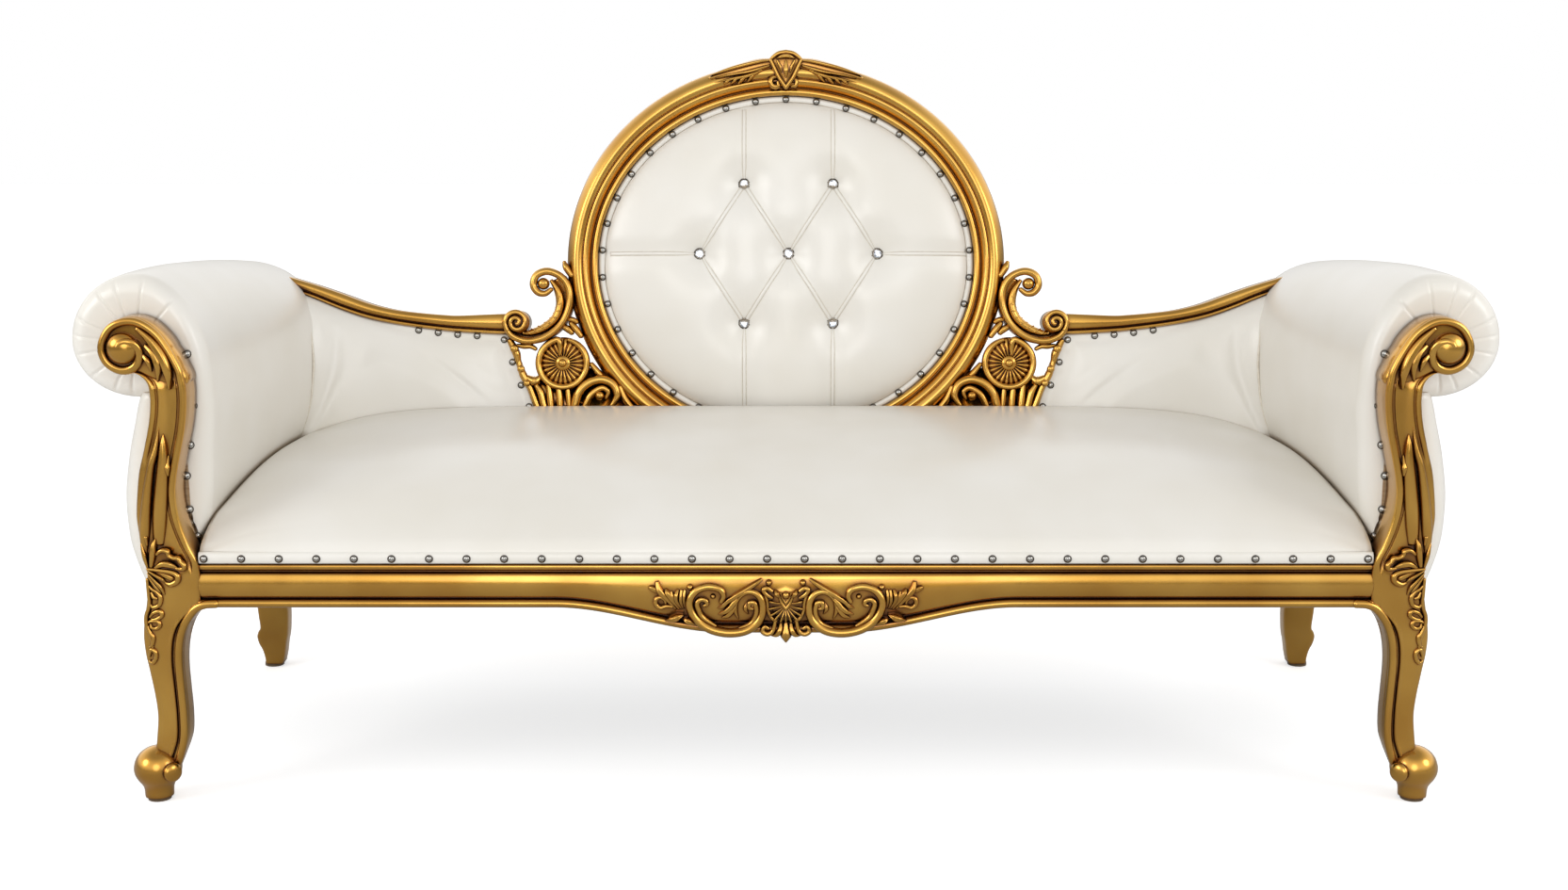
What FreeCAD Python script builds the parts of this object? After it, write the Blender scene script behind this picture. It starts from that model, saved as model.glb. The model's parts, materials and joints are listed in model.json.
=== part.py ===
import FreeCAD, Part
import math
import os

from FreeCAD import Placement, Rotation, Vector

# A settee with an oval tufted back, low padded wings, rolled arms and a carved gilt frame.
# Millimetres. The sitter faces -Y, +X is to the right as seen from the front, and the floor is Z = 0.
# Left pieces are modelled and right pieces are their mirror images.

SIZES = {
    # Overall
    "overall_width": 1846,
    "overall_depth": 672,
    "arm_height": 676,
    "rail_bottom_height": 260,
    "rail_height": 59,
    "back_lean": 8,
    "back_setback": 114.2,
    # Fits
    "joint_clearance": 0.15,
    "soft_gap": 0.3,
    # Feet
    "glide_height": 5,
    "glide_radius": 15,
    "foot_projection": 28,
    "ball_radius": 31,
    "ball_height": 41,
    "ball_inset": 10,
    "foot_pad_radius": 22,
    # Front leg and arm post, widths and insets from the middle of the arm scroll
    "post_thickness": 50,
    "leg_corner": 9,
    "ankle_height": 95,
    "ankle_width": 38,
    "ankle_depth": 40,
    "ankle_inset": 31,
    "shin_height": 165,
    "shin_width": 46,
    "shin_inset": 28,
    "knee_drop": 27,
    "knee_width": 62,
    "knee_inset": 28,
    "hip_width": 72,
    "hip_inset": 41,
    "belly_share": 50 / 211,
    "belly_width": 56,
    "belly_inset": 28,
    "chest_share": 125 / 211,
    "chest_width": 45,
    "chest_inset": 31,
    "waist_drop": 71,
    "waist_width": 44,
    "waist_inset": 49,
    "scroll_radius": 30,
    "scroll_growth": 4,
    "scroll_eye_radius": 17,
    # Rear leg and stile
    "stile_width": 40,
    "stile_depth": 44,
    "stile_inset": 24,
    "heel_setback": 38,
    "heel_width": 30,
    "heel_depth": 36,
    "heel_inset": 14,
    "hock_height": 110,
    "hock_setback": 33,
    "hock_inset": 20,
    # Seat rails
    "front_rail_setback": 6,
    "apron_drop": 34,
    "apron_width": 600,
    "apron_flat": 160,
    "bead_radius": 6,
    "side_rail_thickness": 34,
    "rear_rail_thickness": 34,
    "rear_rail_height": 90,
    "tenon_length": 26,
    "tenon_thickness": 16,
    "tenon_shoulder": 12,
    "brace_width": 40,
    "brace_height": 28,
    "brace_spacing": 520,
    "corner_block_size": 70,
    "corner_block_height": 40,
    "screw_radius": 2.5,
    "screw_head_radius": 5,
    "screw_length": 30,
    # Springing
    "ledger_height": 24,
    "ledger_thickness": 20,
    "spring_count": 9,
    "spring_wire": 4,
    "spring_loop_width": 46,
    "spring_bends": 12,
    "clip_width": 16,
    "clip_thickness": 1.5,
    "burlap_thickness": 1.5,
    "dust_cover_thickness": 1,
    # Seat
    "seat_height": 444,
    "seat_side_drop": 46,
    "seat_front_rise": 34,
    "seat_shoulder": 210,
    "cover_thickness": 3,
    "seat_arm_gap": 2,
    "band_width": 14,
    "band_thickness": 3,
    # Arms
    "roll_side_pad": 83,
    "roll_top_pad": 75,
    "roll_bottom_pad": 64,
    "arm_setback": 9,
    "arm_swell": 37,
    "arm_fall": 19,
    "arm_front_round": 26,
    "arm_front_draw": 0.3,
    "arm_pad_thickness": 46,
    "arm_board_thickness": 6,
    "tack_rail_width": 34,
    "tack_rail_height": 26,
    "roll_rail_radius": 22,
    "roll_rail_inset": 20,
    "outside_arm_thickness": 7,
    "outside_arm_bulge": 15,
    # Medallion
    "medallion_width": 674,
    "medallion_height": 620,
    "ring_width": 53,
    "ring_depth": 50,
    "ring_bead_width": 14,
    "ring_seat": 8,
    "rebate_width": 11,
    "rebate_depth": 17,
    "medallion_board_thickness": 9,
    "medallion_crown": 44,
    "button_spacing": 136,
    "button_row_spacing": 106,
    "button_rise": 13,
    "dimple_radius": 38,
    "dimple_depth": 16,
    "channel_radius": 5,
    "back_panel_thickness": 6,
    # Wings and spandrels
    "wing_rail_height": 27,
    "wing_rail_depth": 46,
    "wing_rail_start": 245,
    "wing_rail_climb": 69,
    "wing_rail_sag": 34,
    "wing_board_thickness": 8,
    "wing_flange": 10,
    "wing_crown": 26,
    "spandrel_width": 90,
    "spandrel_slant": 0.366,
    "spandrel_plate": 24,
    "volute_radius": 23,
    "volute_inset": 17,
    "curl_radius": 52,
    "curl_wire": 9,
    "curl_tip_radius": 19,
    "rosette_radius": 39,
    "rosette_drop": 63,
    "rosette_relief": 12,
    "outside_back_thickness": 8,
    # Nails, buttons and carving
    "nail_radius": 5,
    "nail_height": 3,
    "seat_nail_count": 32,
    "ring_nail_count": 38,
    "arm_nail_count": 6,
    "wing_nail_count": 4,
    "stone_radius": 8,
    "stone_height": 5,
    "setting_radius": 9.5,
    "setting_height": 4,
    "carving_relief": 9,
    "crest_rise": 9,
    "crest_leaf_length": 96,
    "apron_scroll_radius": 27,
    "apron_scroll_spacing": 66,
    "shell_radius": 34,
    "shell_ribs": 7,
    "knee_leaf_length": 46,
}

OUT_FOLDER = "parts"
AXIS_X = Vector(1, 0, 0)
AXIS_Y = Vector(0, 1, 0)
AXIS_Z = Vector(0, 0, 1)
FAR = 3000.0

doc = FreeCAD.newDocument("settee")
sheet = doc.addObject("Spreadsheet::Sheet", "sizes")
for row, (alias, number) in enumerate(SIZES.items(), start=1):
    sheet.set(f"A{row}", alias)
    sheet.set(f"B{row}", str(number))
    sheet.setAlias(f"B{row}", alias)
doc.recompute()


class Sizes:
    """The sheet's sizes, read by alias."""

    def __getattr__(self, alias):
        return float(sheet.get(alias))


d = Sizes()

# Places that several pieces share
rail_top = d.rail_bottom_height + d.rail_height
rear_rail_top = d.rail_bottom_height + d.rear_rail_height
roll_x = d.overall_width / 2 - d.roll_side_pad
roll_z = d.arm_height - d.roll_top_pad
waist_z = roll_z - d.waist_drop
post_rise = waist_z - rail_top
post_front = -d.overall_depth / 2 + d.foot_projection
post_back = post_front + d.post_thickness
hip_inner = roll_x - d.hip_inset - d.hip_width / 2
rail_front = post_front + d.front_rail_setback
rail_thickness = post_back - rail_front
back_y = d.overall_depth / 2 - d.back_setback
lean_slope = math.tan(math.radians(d.back_lean))
rear_rail_front = back_y - d.rear_rail_thickness / 2
stile_x = roll_x - d.stile_inset
stile_outer = stile_x + d.stile_width / 2
stile_inner = stile_x - d.stile_width / 2
arm_inner_front = hip_inner + d.arm_setback
arm_inner_rear = arm_inner_front - d.arm_swell
heel_y = d.overall_depth / 2 - d.heel_setback - d.heel_depth / 2
board_inner = arm_inner_rear + d.arm_pad_thickness
tack_inner = board_inner - (d.tack_rail_width - d.arm_board_thickness) / 4
tack_top = rail_top + d.tack_rail_height
spring_top = rail_top + d.spring_wire
ring_x = d.medallion_width / 2
ring_z = d.medallion_height / 2
ring_center = Vector(0, 0, rear_rail_top + ring_z - d.ring_seat)
ring_stretch = d.medallion_width / d.medallion_height
back_front = -d.ring_depth / 2
panel_y = d.wing_rail_depth / 2 + d.soft_gap

# The back is drawn upright on the plane Y = 0 and then leans about the top of the seat rails
back_place = Placement(Vector(0, back_y, 0), Rotation(AXIS_X, -d.back_lean), Vector(0, 0, rail_top))


def feature(label, shape, placement=Placement()):
    """One piece whose form is set directly."""
    piece = doc.addObject("Part::Feature", label)
    piece.Shape = shape
    piece.Placement = placement.multiply(shape.Placement)
    return piece


def mirrored(label, source):
    """The right-hand twin of a left-hand piece."""
    twin = doc.addObject("Part::Mirroring", label)
    twin.Source = source
    twin.Base = Vector(0, 0, 0)
    twin.Normal = AXIS_X
    return twin


def board(label, lengths, corner):
    """A sawn board whose three lengths are expressions of the sheet's sizes."""
    piece = doc.addObject("Part::Box", label)
    for side, expression in zip(("Length", "Width", "Height"), lengths):
        piece.setExpression(side, expression)
    piece.Placement = Placement(corner, Rotation())
    return piece


def fused(label, base, tool):
    """Two bodies made as one piece of wood."""
    piece = doc.addObject("Part::Fuse", label)
    piece.Base = base
    piece.Tool = tool
    return piece


def block(low, high):
    """A plain box between two corners."""
    span = high - low
    return Part.makeBox(span.x, span.y, span.z, low)


def rounded_rectangle(center, width, depth, corner):
    """A level closed outline with rounded corners."""
    half_x = width / 2
    half_y = depth / 2
    cut = corner * (1 - math.sqrt(0.5))
    edges = []
    for turn in range(4):
        spin = Rotation(AXIS_Z, 90 * turn)
        along, across = (half_x, half_y) if turn % 2 == 0 else (half_y, half_x)
        start = spin.multVec(Vector(along, -across + corner, 0)) + center
        end = spin.multVec(Vector(along, across - corner, 0)) + center
        middle = spin.multVec(Vector(along - cut, across - cut, 0)) + center
        after = spin.multVec(Vector(along - corner, across, 0)) + center
        edges.append(Part.LineSegment(start, end).toShape())
        edges.append(Part.Arc(end, middle, after).toShape())
    return Part.Wire(edges)


def prism(points, low_y, high_y):
    """A solid with a straight-sided outline in X and Z, between two depths."""
    loop = [Vector(x, low_y, z) for x, z in points]
    outline = Part.makePolygon(loop + loop[:1])
    return Part.Face(outline).extrude(Vector(0, high_y - low_y, 0))


def disc(x, z, radius, low_y, high_y):
    """A round boss with its axis along Y."""
    return Part.makeCylinder(radius, high_y - low_y, Vector(x, low_y, z), AXIS_Y)


def curl(center, path_radius, wire_radius, start_angle, sweep):
    """A round bar bent to part of a circle in X and Z; angles in degrees from +X towards +Z."""
    bar = Part.makeTorus(path_radius, wire_radius, center, Vector(0, -1, 0), -180, 180, sweep)
    bar.rotate(center, Vector(0, -1, 0), start_angle)
    return bar


def leaned(shape):
    """A form drawn upright, leaned with the back."""
    shape.Placement = back_place.multiply(shape.Placement)
    return shape


def behind_back_plane(offset):
    """Everything behind a plane that leans with the back, at a distance behind its middle plane."""
    return leaned(block(Vector(-FAR, offset, -FAR), Vector(FAR, FAR, FAR)))


def below_rear_rail_top():
    """Everything lower than the top of the rear rail, as seen by a piece that is still upright."""
    space = block(Vector(-FAR, -FAR, -FAR), Vector(FAR, FAR, rear_rail_top))
    space.Placement = back_place.inverse()
    return space


def nail(seat, direction):
    """The domed head of one upholstery nail, its flat side on the seat point."""
    rise = d.nail_height
    sphere = (d.nail_radius**2 + rise**2) / (2 * rise)
    latitude = math.degrees(math.asin((sphere - rise) / sphere))
    center = seat - direction * (sphere - rise)
    return Part.makeSphere(sphere, center, direction, latitude, 90, 360)


# Front legs: a cabriole leg, the arm post above it and the arm scroll are one carved piece


def leg_station(height, inset, width, depth, center_y):
    """One level section through the left front leg."""
    corner = min(d.leg_corner, 0.4 * width, 0.4 * depth)
    return rounded_rectangle(Vector(inset - roll_x, center_y, height), width, depth, corner)


def leg_shaft():
    """The S-shaped shaft from the ball foot to the arm post's waist."""
    thick = d.post_thickness
    middle = post_front + thick / 2
    ankle_y = post_front - d.foot_projection / 4 + d.ankle_depth / 2
    ball_y = post_front - d.foot_projection + d.ball_radius
    shin_depth = (d.ankle_depth + thick) / 2
    stations = [
        leg_station(d.ball_height, d.ball_inset, 0.8 * d.ankle_width, 0.8 * d.ankle_depth, ball_y),
        leg_station(d.ankle_height, d.ankle_inset, d.ankle_width, d.ankle_depth, ankle_y),
        leg_station(d.shin_height, d.shin_inset, d.shin_width, shin_depth, post_front + shin_depth / 2),
        leg_station(d.rail_bottom_height - d.knee_drop, d.knee_inset, d.knee_width, thick, middle),
        leg_station(rail_top - d.rail_height / 2, d.hip_inset, d.hip_width, thick, middle),
        leg_station(rail_top, d.hip_inset, d.hip_width, thick, middle),
        leg_station(rail_top + d.belly_share * post_rise, d.belly_inset, d.belly_width, thick, middle),
        leg_station(rail_top + d.chest_share * post_rise, d.chest_inset, d.chest_width, thick, middle),
        leg_station(waist_z, d.waist_inset, d.waist_width, thick, middle),
    ]
    return Part.makeLoft(stations, True, False)


def leg_scroll():
    """The arm scroll: the post turns outwards over the top and winds in to its eye."""
    half = d.waist_width / 2
    reach = d.scroll_radius + 9 * d.scroll_growth
    inner = d.waist_inset + half
    outer = d.waist_inset - half
    points = [Vector(inner - roll_x, 0, waist_z)]
    points.append(Vector(max(inner, reach) - roll_x, 0, roll_z - d.waist_drop / 2))
    for step in range(6, -1, -1):
        quarter = step / 2
        radius = d.scroll_radius + d.scroll_growth * quarter**2
        angle = math.radians(90 * (3 - quarter))
        points.append(Vector(radius * math.cos(angle) - roll_x, 0, roll_z + radius * math.sin(angle)))
    points.append(Vector((d.scroll_radius + outer) / 2 - 7 - roll_x, 0, roll_z - 0.58 * d.waist_drop))
    points.append(Vector(outer - roll_x, 0, waist_z))
    rim = Part.BSplineCurve()
    rim.interpolate(points)
    foot = Part.LineSegment(points[-1], points[0])
    face = Part.Face(Part.Wire([rim.toShape(), foot.toShape()]))
    head = face.extrude(Vector(0, d.post_thickness, 0))
    head.translate(Vector(0, post_front, 0))
    eye = Part.makeSphere(d.scroll_eye_radius, Vector(-roll_x, post_front + d.scroll_eye_radius / 3, roll_z))
    return head.fuse(eye)


def leg_foot():
    """The ball of the foot on its round pad."""
    ball_y = post_front - d.foot_projection + d.ball_radius
    center = Vector(d.ball_inset - roll_x, ball_y, d.ball_height)
    ball = Part.makeSphere(d.ball_radius, center)
    sole = Vector(center.x, center.y, d.glide_height)
    pad = Part.makeCylinder(d.foot_pad_radius, d.ball_height - d.glide_height, sole)
    return ball.fuse(pad).cut(block(Vector(-FAR, -FAR, -FAR), Vector(FAR, FAR, d.glide_height)))


def tenon_block(low, high):
    """The mortise that a tenon between two corners needs, with its clearance."""
    room = Vector(d.joint_clearance, d.joint_clearance, d.joint_clearance)
    return block(low - room, high + room)


def rail_tenon_heights(height):
    """The lowest and highest level of a rail's tenon."""
    return d.rail_bottom_height + d.tenon_shoulder, d.rail_bottom_height + height - d.tenon_shoulder


def front_tenon_y():
    """Depth of the front face of the front rail's tenons."""
    return rail_front + (rail_thickness - d.tenon_thickness) / 2


def make_front_legs():
    low_z, high_z = rail_tenon_heights(d.rail_height)
    rail_y = front_tenon_y()
    side_x = stile_outer - (d.side_rail_thickness - d.tenon_thickness) / 2
    front_mortise = tenon_block(
        Vector(-hip_inner - d.tenon_length, rail_y, low_z),
        Vector(0, rail_y + d.tenon_thickness, high_z),
    )
    side_mortise = tenon_block(
        Vector(-side_x, post_back - d.tenon_length / 2, low_z),
        Vector(d.tenon_thickness - side_x, 0, high_z),
    )
    leg = leg_shaft().multiFuse([leg_scroll(), leg_foot()]).removeSplitter()
    left = feature("front_leg_left", leg.cut(front_mortise).cut(side_mortise))
    mirrored("front_leg_right", left)


# Rear legs: a raked leg below the rails runs on as the leaning stile of the back


def lean_y(height, offset=0.0):
    """Depth of a plane that leans with the back, at a height."""
    return back_y + (height - rail_top) * lean_slope + offset


def stile_top():
    """Level of the stiles' upper ends, inside the arm rolls."""
    return roll_z + d.roll_rail_radius


def make_rear_legs():
    stile_offset = panel_y - d.soft_gap - d.stile_depth / 2
    levels = [
        (d.glide_height, d.heel_inset, heel_y, d.heel_width, d.heel_depth),
        (d.hock_height, d.hock_inset, heel_y - d.hock_setback, d.stile_width, d.heel_depth),
        (d.rail_bottom_height, d.stile_inset, None, d.stile_width, d.stile_depth),
        (rear_rail_top, d.stile_inset, None, d.stile_width, d.stile_depth),
        (stile_top(), d.stile_inset, None, d.stile_width, d.stile_depth),
    ]
    sections = []
    for height, inset, center_y, width, depth in levels:
        if center_y is None:
            center_y = lean_y(height, stile_offset)
        corner = min(d.leg_corner, 0.4 * width, 0.4 * depth) / 2
        sections.append(rounded_rectangle(Vector(inset - roll_x, center_y, height), width, depth, corner))
    raked = Part.makeLoft(sections[:3], True, False)
    stile = Part.makeLoft(sections[2:], True, True)
    low_z, high_z = rail_tenon_heights(d.rail_height)
    side_x = stile_outer - (d.side_rail_thickness - d.tenon_thickness) / 2
    side_mortise = tenon_block(
        Vector(-side_x, 0, low_z),
        Vector(d.tenon_thickness - side_x, side_rail_end() + d.tenon_length / 2, high_z),
    )
    rear_low, rear_high = rail_tenon_heights(d.rear_rail_height)
    rear_y = back_y - d.tenon_thickness / 2
    rear_mortise = tenon_block(
        Vector(-stile_inner - d.tenon_length, rear_y, rear_low),
        Vector(0, rear_y + d.tenon_thickness, rear_high),
    )
    leg = raked.fuse(stile).removeSplitter()
    left = feature("rear_leg_left", leg.cut(side_mortise).cut(rear_mortise))
    mirrored("rear_leg_right", left)


def side_rail_end():
    """Depth at which the side rails meet the stiles' front faces."""
    stile_offset = panel_y - d.soft_gap - d.stile_depth
    return lean_y(d.rail_bottom_height, stile_offset)


# Seat rails


def make_front_rail():
    """A shaped apron with a half-round bead along its lower edge, tenoned into the front legs."""
    half = hip_inner
    low = d.rail_bottom_height
    bottom = low - d.apron_drop
    wing_x = d.apron_width / 2
    flat_x = d.apron_flat / 2
    middle_x = (wing_x + flat_x) / 2
    middle_z = (low + bottom) / 2
    body = doc.addObject("PartDesign::Body", "apron_body")
    sketch = body.newObject("Sketcher::SketchObject", "apron_outline")
    plane = next(f for f in body.Origin.OriginFeatures if f.Role == "XZ_Plane")
    sketch.AttachmentSupport = [(plane, "")]
    sketch.MapMode = "FlatFace"
    quarter_z = (low - bottom) / 8

    def at(x, z):
        return Vector(x, z, 0)

    right = [
        (at(half, low), None),
        (at(wing_x, low), at((wing_x + middle_x) / 2, low - quarter_z)),
        (at(middle_x, middle_z), at((middle_x + flat_x) / 2, bottom + quarter_z)),
        (at(flat_x, bottom), None),
    ]
    left = [(at(-p.x, p.y), via) for p, via in reversed(right)]
    vias = [None, right[1][1], right[2][1], None]
    mirrored_vias = [at(-right[2][1].x, right[2][1].y), at(-right[1][1].x, right[1][1].y), None, None]
    corners = [at(half, rail_top)] + [p for p, _ in right] + [p for p, _ in left] + [at(-half, rail_top)]
    bends = [None] + vias + mirrored_vias + [None]
    for index, start in enumerate(corners):
        end = corners[(index + 1) % len(corners)]
        via = bends[index]
        line = Part.LineSegment(start, end) if via is None else Part.Arc(start, via, end)
        sketch.addGeometry(line, False)
    doc.recompute()
    pad = body.newObject("PartDesign::Pad", "apron_pad")
    pad.Profile = sketch
    pad.setExpression("Length", "sizes.post_thickness - sizes.front_rail_setback")
    pad.Reversed = True
    body.Tip = pad
    body.Placement = Placement(Vector(0, rail_front, 0), Rotation())
    low_z, high_z = rail_tenon_heights(d.rail_height)
    tenon = board(
        "front_rail_tenon",
        (
            "2 * (sizes.overall_width / 2 - sizes.roll_side_pad - sizes.hip_inset"
            " - sizes.hip_width / 2 + sizes.tenon_length)",
            "sizes.tenon_thickness",
            "sizes.rail_height - 2 * sizes.tenon_shoulder",
        ),
        Vector(-hip_inner - d.tenon_length, front_tenon_y(), low_z),
    )
    fused("front_rail", body, tenon)
    make_apron_bead(wing_x, middle_x, flat_x, low, middle_z, bottom, quarter_z)


def make_apron_bead(wing_x, middle_x, flat_x, low, middle_z, bottom, quarter_z):
    """The half-round moulding planted along the apron's lower edge, up to the carving in the middle."""
    y = rail_front

    def at(x, z):
        return Vector(x, y, z + d.bead_radius)

    upper_x = (wing_x + middle_x) / 2
    lower_x = (middle_x + flat_x) / 2
    upper_z = low - quarter_z
    lower_z = bottom + quarter_z
    path = [
        Part.LineSegment(at(-hip_inner, low), at(-wing_x, low)),
        Part.Arc(at(-wing_x, low), at(-upper_x, upper_z), at(-middle_x, middle_z)),
        Part.Arc(at(-middle_x, middle_z), at(-lower_x, lower_z), at(-flat_x, bottom)),
    ]
    spine = Part.Wire([curve.toShape() for curve in path])
    ring = Part.makeCircle(d.bead_radius, at(-hip_inner, low), AXIS_X)
    rod = spine.makePipeShell([Part.Wire([ring])], True, False, 1)
    half = rod.common(block(Vector(-FAR, -FAR, -FAR), Vector(FAR, y, FAR)))
    twin = half.mirror(Vector(0, 0, 0), AXIS_X)
    feature("apron_bead", Part.makeCompound(half.Solids + twin.Solids))


def make_plain_rails():
    """Side rails and rear rail, each with a tenon at both ends."""
    low_z, high_z = rail_tenon_heights(d.rail_height)
    inner_x = stile_outer - d.side_rail_thickness
    run = side_rail_end() - post_back
    rail = block(
        Vector(-stile_outer, post_back, d.rail_bottom_height),
        Vector(-inner_x, post_back + run, rail_top),
    )
    tenon_x = stile_outer - (d.side_rail_thickness - d.tenon_thickness) / 2
    tenon = block(
        Vector(-tenon_x, post_back - d.tenon_length / 2, low_z),
        Vector(d.tenon_thickness - tenon_x, post_back + run + d.tenon_length / 2, high_z),
    )
    left = feature("side_rail_left", rail.fuse(tenon).removeSplitter())
    mirrored("side_rail_right", left)
    rear_low, rear_high = rail_tenon_heights(d.rear_rail_height)
    stile_gap = "(sizes.overall_width / 2 - sizes.roll_side_pad - sizes.stile_inset - sizes.stile_width / 2)"
    rear = board(
        "rear_rail_board",
        (f"2 * {stile_gap}", "sizes.rear_rail_thickness", "sizes.rear_rail_height"),
        Vector(-stile_inner, rear_rail_front, d.rail_bottom_height),
    )
    rear_tenon = board(
        "rear_rail_tenon",
        (
            f"2 * ({stile_gap} + sizes.tenon_length)",
            "sizes.tenon_thickness",
            "sizes.rear_rail_height - 2 * sizes.tenon_shoulder",
        ),
        Vector(-stile_inner - d.tenon_length, back_y - d.tenon_thickness / 2, rear_low),
    )
    fused("rear_rail", rear, rear_tenon)


def make_braces():
    """Two cross braces between the front and rear rails."""
    run = rear_rail_front - post_back
    pieces = []
    for side in (-1, 1):
        x = side * d.brace_spacing / 2
        low = Vector(x - d.brace_width / 2, post_back, d.rail_bottom_height)
        pieces.append(Part.makeBox(d.brace_width, run, d.brace_height, low))
    feature("seat_braces", Part.makeCompound(pieces))


def corner_block(corner, side_x, side_y):
    """A three-sided glue block that fills one inside corner of the seat frame."""
    size = d.corner_block_size
    top = rail_top - (d.rail_height - d.corner_block_height) / 2
    points = [
        corner,
        corner + Vector(side_x * size, 0, 0),
        corner + Vector(0, side_y * size, 0),
        corner,
    ]
    face = Part.Face(Part.makePolygon(points))
    prism_solid = face.extrude(Vector(0, 0, d.corner_block_height))
    prism_solid.translate(Vector(0, 0, top - d.corner_block_height))
    return prism_solid


def corner_screw(corner, side_x, side_y):
    """A screw through the slanting face of a glue block, pointing into the corner."""
    aim = Vector(-side_x, -side_y, 0).normalize()
    head = corner + Vector(side_x, side_y, 0) * (d.corner_block_size / 2)
    head.z = rail_top - d.rail_height / 2
    shank = Part.makeCylinder(d.screw_radius, d.screw_length, head, aim)
    cap = Part.makeCylinder(d.screw_head_radius, d.screw_radius, head - aim * d.screw_radius, aim)
    return shank.fuse(cap)


def make_corner_blocks():
    inner_x = stile_outer - d.side_rail_thickness
    ends = [(inner_x, post_back, 1), (stile_inner, rear_rail_front, -1)]
    blocks = []
    screws = []
    for x, y, toward in ends:
        for side in (-1, 1):
            corner = Vector(side * x, y, 0)
            screw = corner_screw(corner, -side, toward)
            blocks.append(corner_block(corner, -side, toward).cut(screw))
            screws.append(screw)
    feature("corner_blocks", Part.makeCompound(blocks))
    feature("corner_block_screws", Part.makeCompound(screws))


def make_glides():
    """A nylon glide under each foot, which is what the settee stands on."""
    front_y = post_front - d.foot_projection + d.ball_radius
    places = [(roll_x - d.ball_inset, front_y), (roll_x - d.heel_inset, heel_y)]
    glides = []
    for x, y in places:
        for side in (-1, 1):
            glides.append(Part.makeCylinder(d.glide_radius, d.glide_height, Vector(side * x, y, 0)))
    feature("foot_glides", Part.makeCompound(glides))


# Springing and seat


def spring_wire(x):
    """One sinuous spring: straight cross runs joined by half turns, from the front rail to the ledger."""
    front = rail_front + rail_thickness / 3
    rear = rear_rail_front - d.ledger_thickness / 2
    bends = int(d.spring_bends)
    step = (rear - front) / bends
    bend = step / 2
    reach = d.spring_loop_width / 2 - bend
    z = rail_top + d.spring_wire / 2
    edges = []
    for index in range(bends + 1):
        y = front + index * step
        side = 1 if index % 2 == 0 else -1
        start = Vector(x + side * reach, y, z)
        edges.append(Part.LineSegment(Vector(x - side * reach, y, z), start).toShape())
        if index < bends:
            middle = Vector(x + side * (reach + bend), y + bend, z)
            edges.append(Part.Arc(start, middle, start + Vector(0, step, 0)).toShape())
    spine = Part.Wire(edges)
    ring = Part.makeCircle(d.spring_wire / 2, Vector(x - reach, front, z), AXIS_X)
    return spine.makePipeShell([Part.Wire([ring])], True, False)


def make_springs():
    count = int(d.spring_count)
    pitch = 2 * (tack_inner - d.spring_loop_width) / count
    front = rail_front + rail_thickness / 3
    rear = rear_rail_front - d.ledger_thickness / 2
    springs = []
    clips = []
    for index in range(count):
        x = (index - (count - 1) / 2) * pitch
        springs.append(spring_wire(x))
        for y in (front, rear):
            low = Vector(x - d.clip_width / 2, y - d.clip_width / 4, spring_top)
            clips.append(Part.makeBox(d.clip_width, d.clip_width / 2, d.clip_thickness, low))
    feature("sinuous_springs", Part.makeCompound(springs))
    feature("spring_clips", Part.makeCompound(clips))
    board(
        "spring_ledger",
        (
            "2 * (sizes.overall_width / 2 - sizes.roll_side_pad - sizes.stile_inset"
            " - sizes.stile_width / 2 - sizes.corner_block_size)",
            "sizes.ledger_thickness",
            "sizes.ledger_height",
        ),
        Vector(
            d.corner_block_size - stile_inner,
            rear_rail_front - d.ledger_thickness,
            rail_top - d.ledger_height,
        ),
    )


def seat_outline(y, inset, bottom, share):
    """One upright section across the seat: flat underneath, crowned on top, with rounded shoulders."""
    half = seat_half_width(y) - inset
    front_top = rail_top + d.seat_front_rise
    top = front_top + (d.seat_height - front_top) * share - inset
    side = top - d.seat_side_drop * (0.3 + 0.7 * share)
    shoulder_x = half - d.seat_shoulder
    drop = (top - side) * 0.12
    low_left = Vector(-half, y, bottom)
    low_right = Vector(half, y, bottom)
    side_right = Vector(half, y, side)
    side_left = Vector(-half, y, side)
    shoulder_right = Vector(shoulder_x, y, top - drop)
    shoulder_left = Vector(-shoulder_x, y, top - drop)
    bend = Vector(0.42 * d.seat_shoulder, 0, 0.62 * (top - drop - side))
    bend_right = side_right + Vector(-bend.x, 0, bend.z)
    bend_left = side_left + Vector(bend.x, 0, bend.z)
    edges = [
        Part.LineSegment(low_left, low_right),
        Part.LineSegment(low_right, side_right),
        Part.Arc(side_right, bend_right, shoulder_right),
        Part.Arc(shoulder_right, Vector(0, y, top), shoulder_left),
        Part.Arc(shoulder_left, bend_left, side_left),
        Part.LineSegment(side_left, low_left),
    ]
    return Part.Wire([edge.toShape() for edge in edges])


def arm_inner(y):
    """How far out the inside face of an arm lies, at a depth; the padding grows towards the back."""
    span = back_y - post_back
    share = min(max((y - post_back) / span, 0.0), 1.0)
    return arm_inner_front - d.arm_swell * math.sin(math.radians(90 * share))


def seat_half_width(y):
    """Half the seat's width at a depth, clear of the posts and of the arms' padding."""
    return min(arm_inner(y), hip_inner) - d.seat_arm_gap


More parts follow.
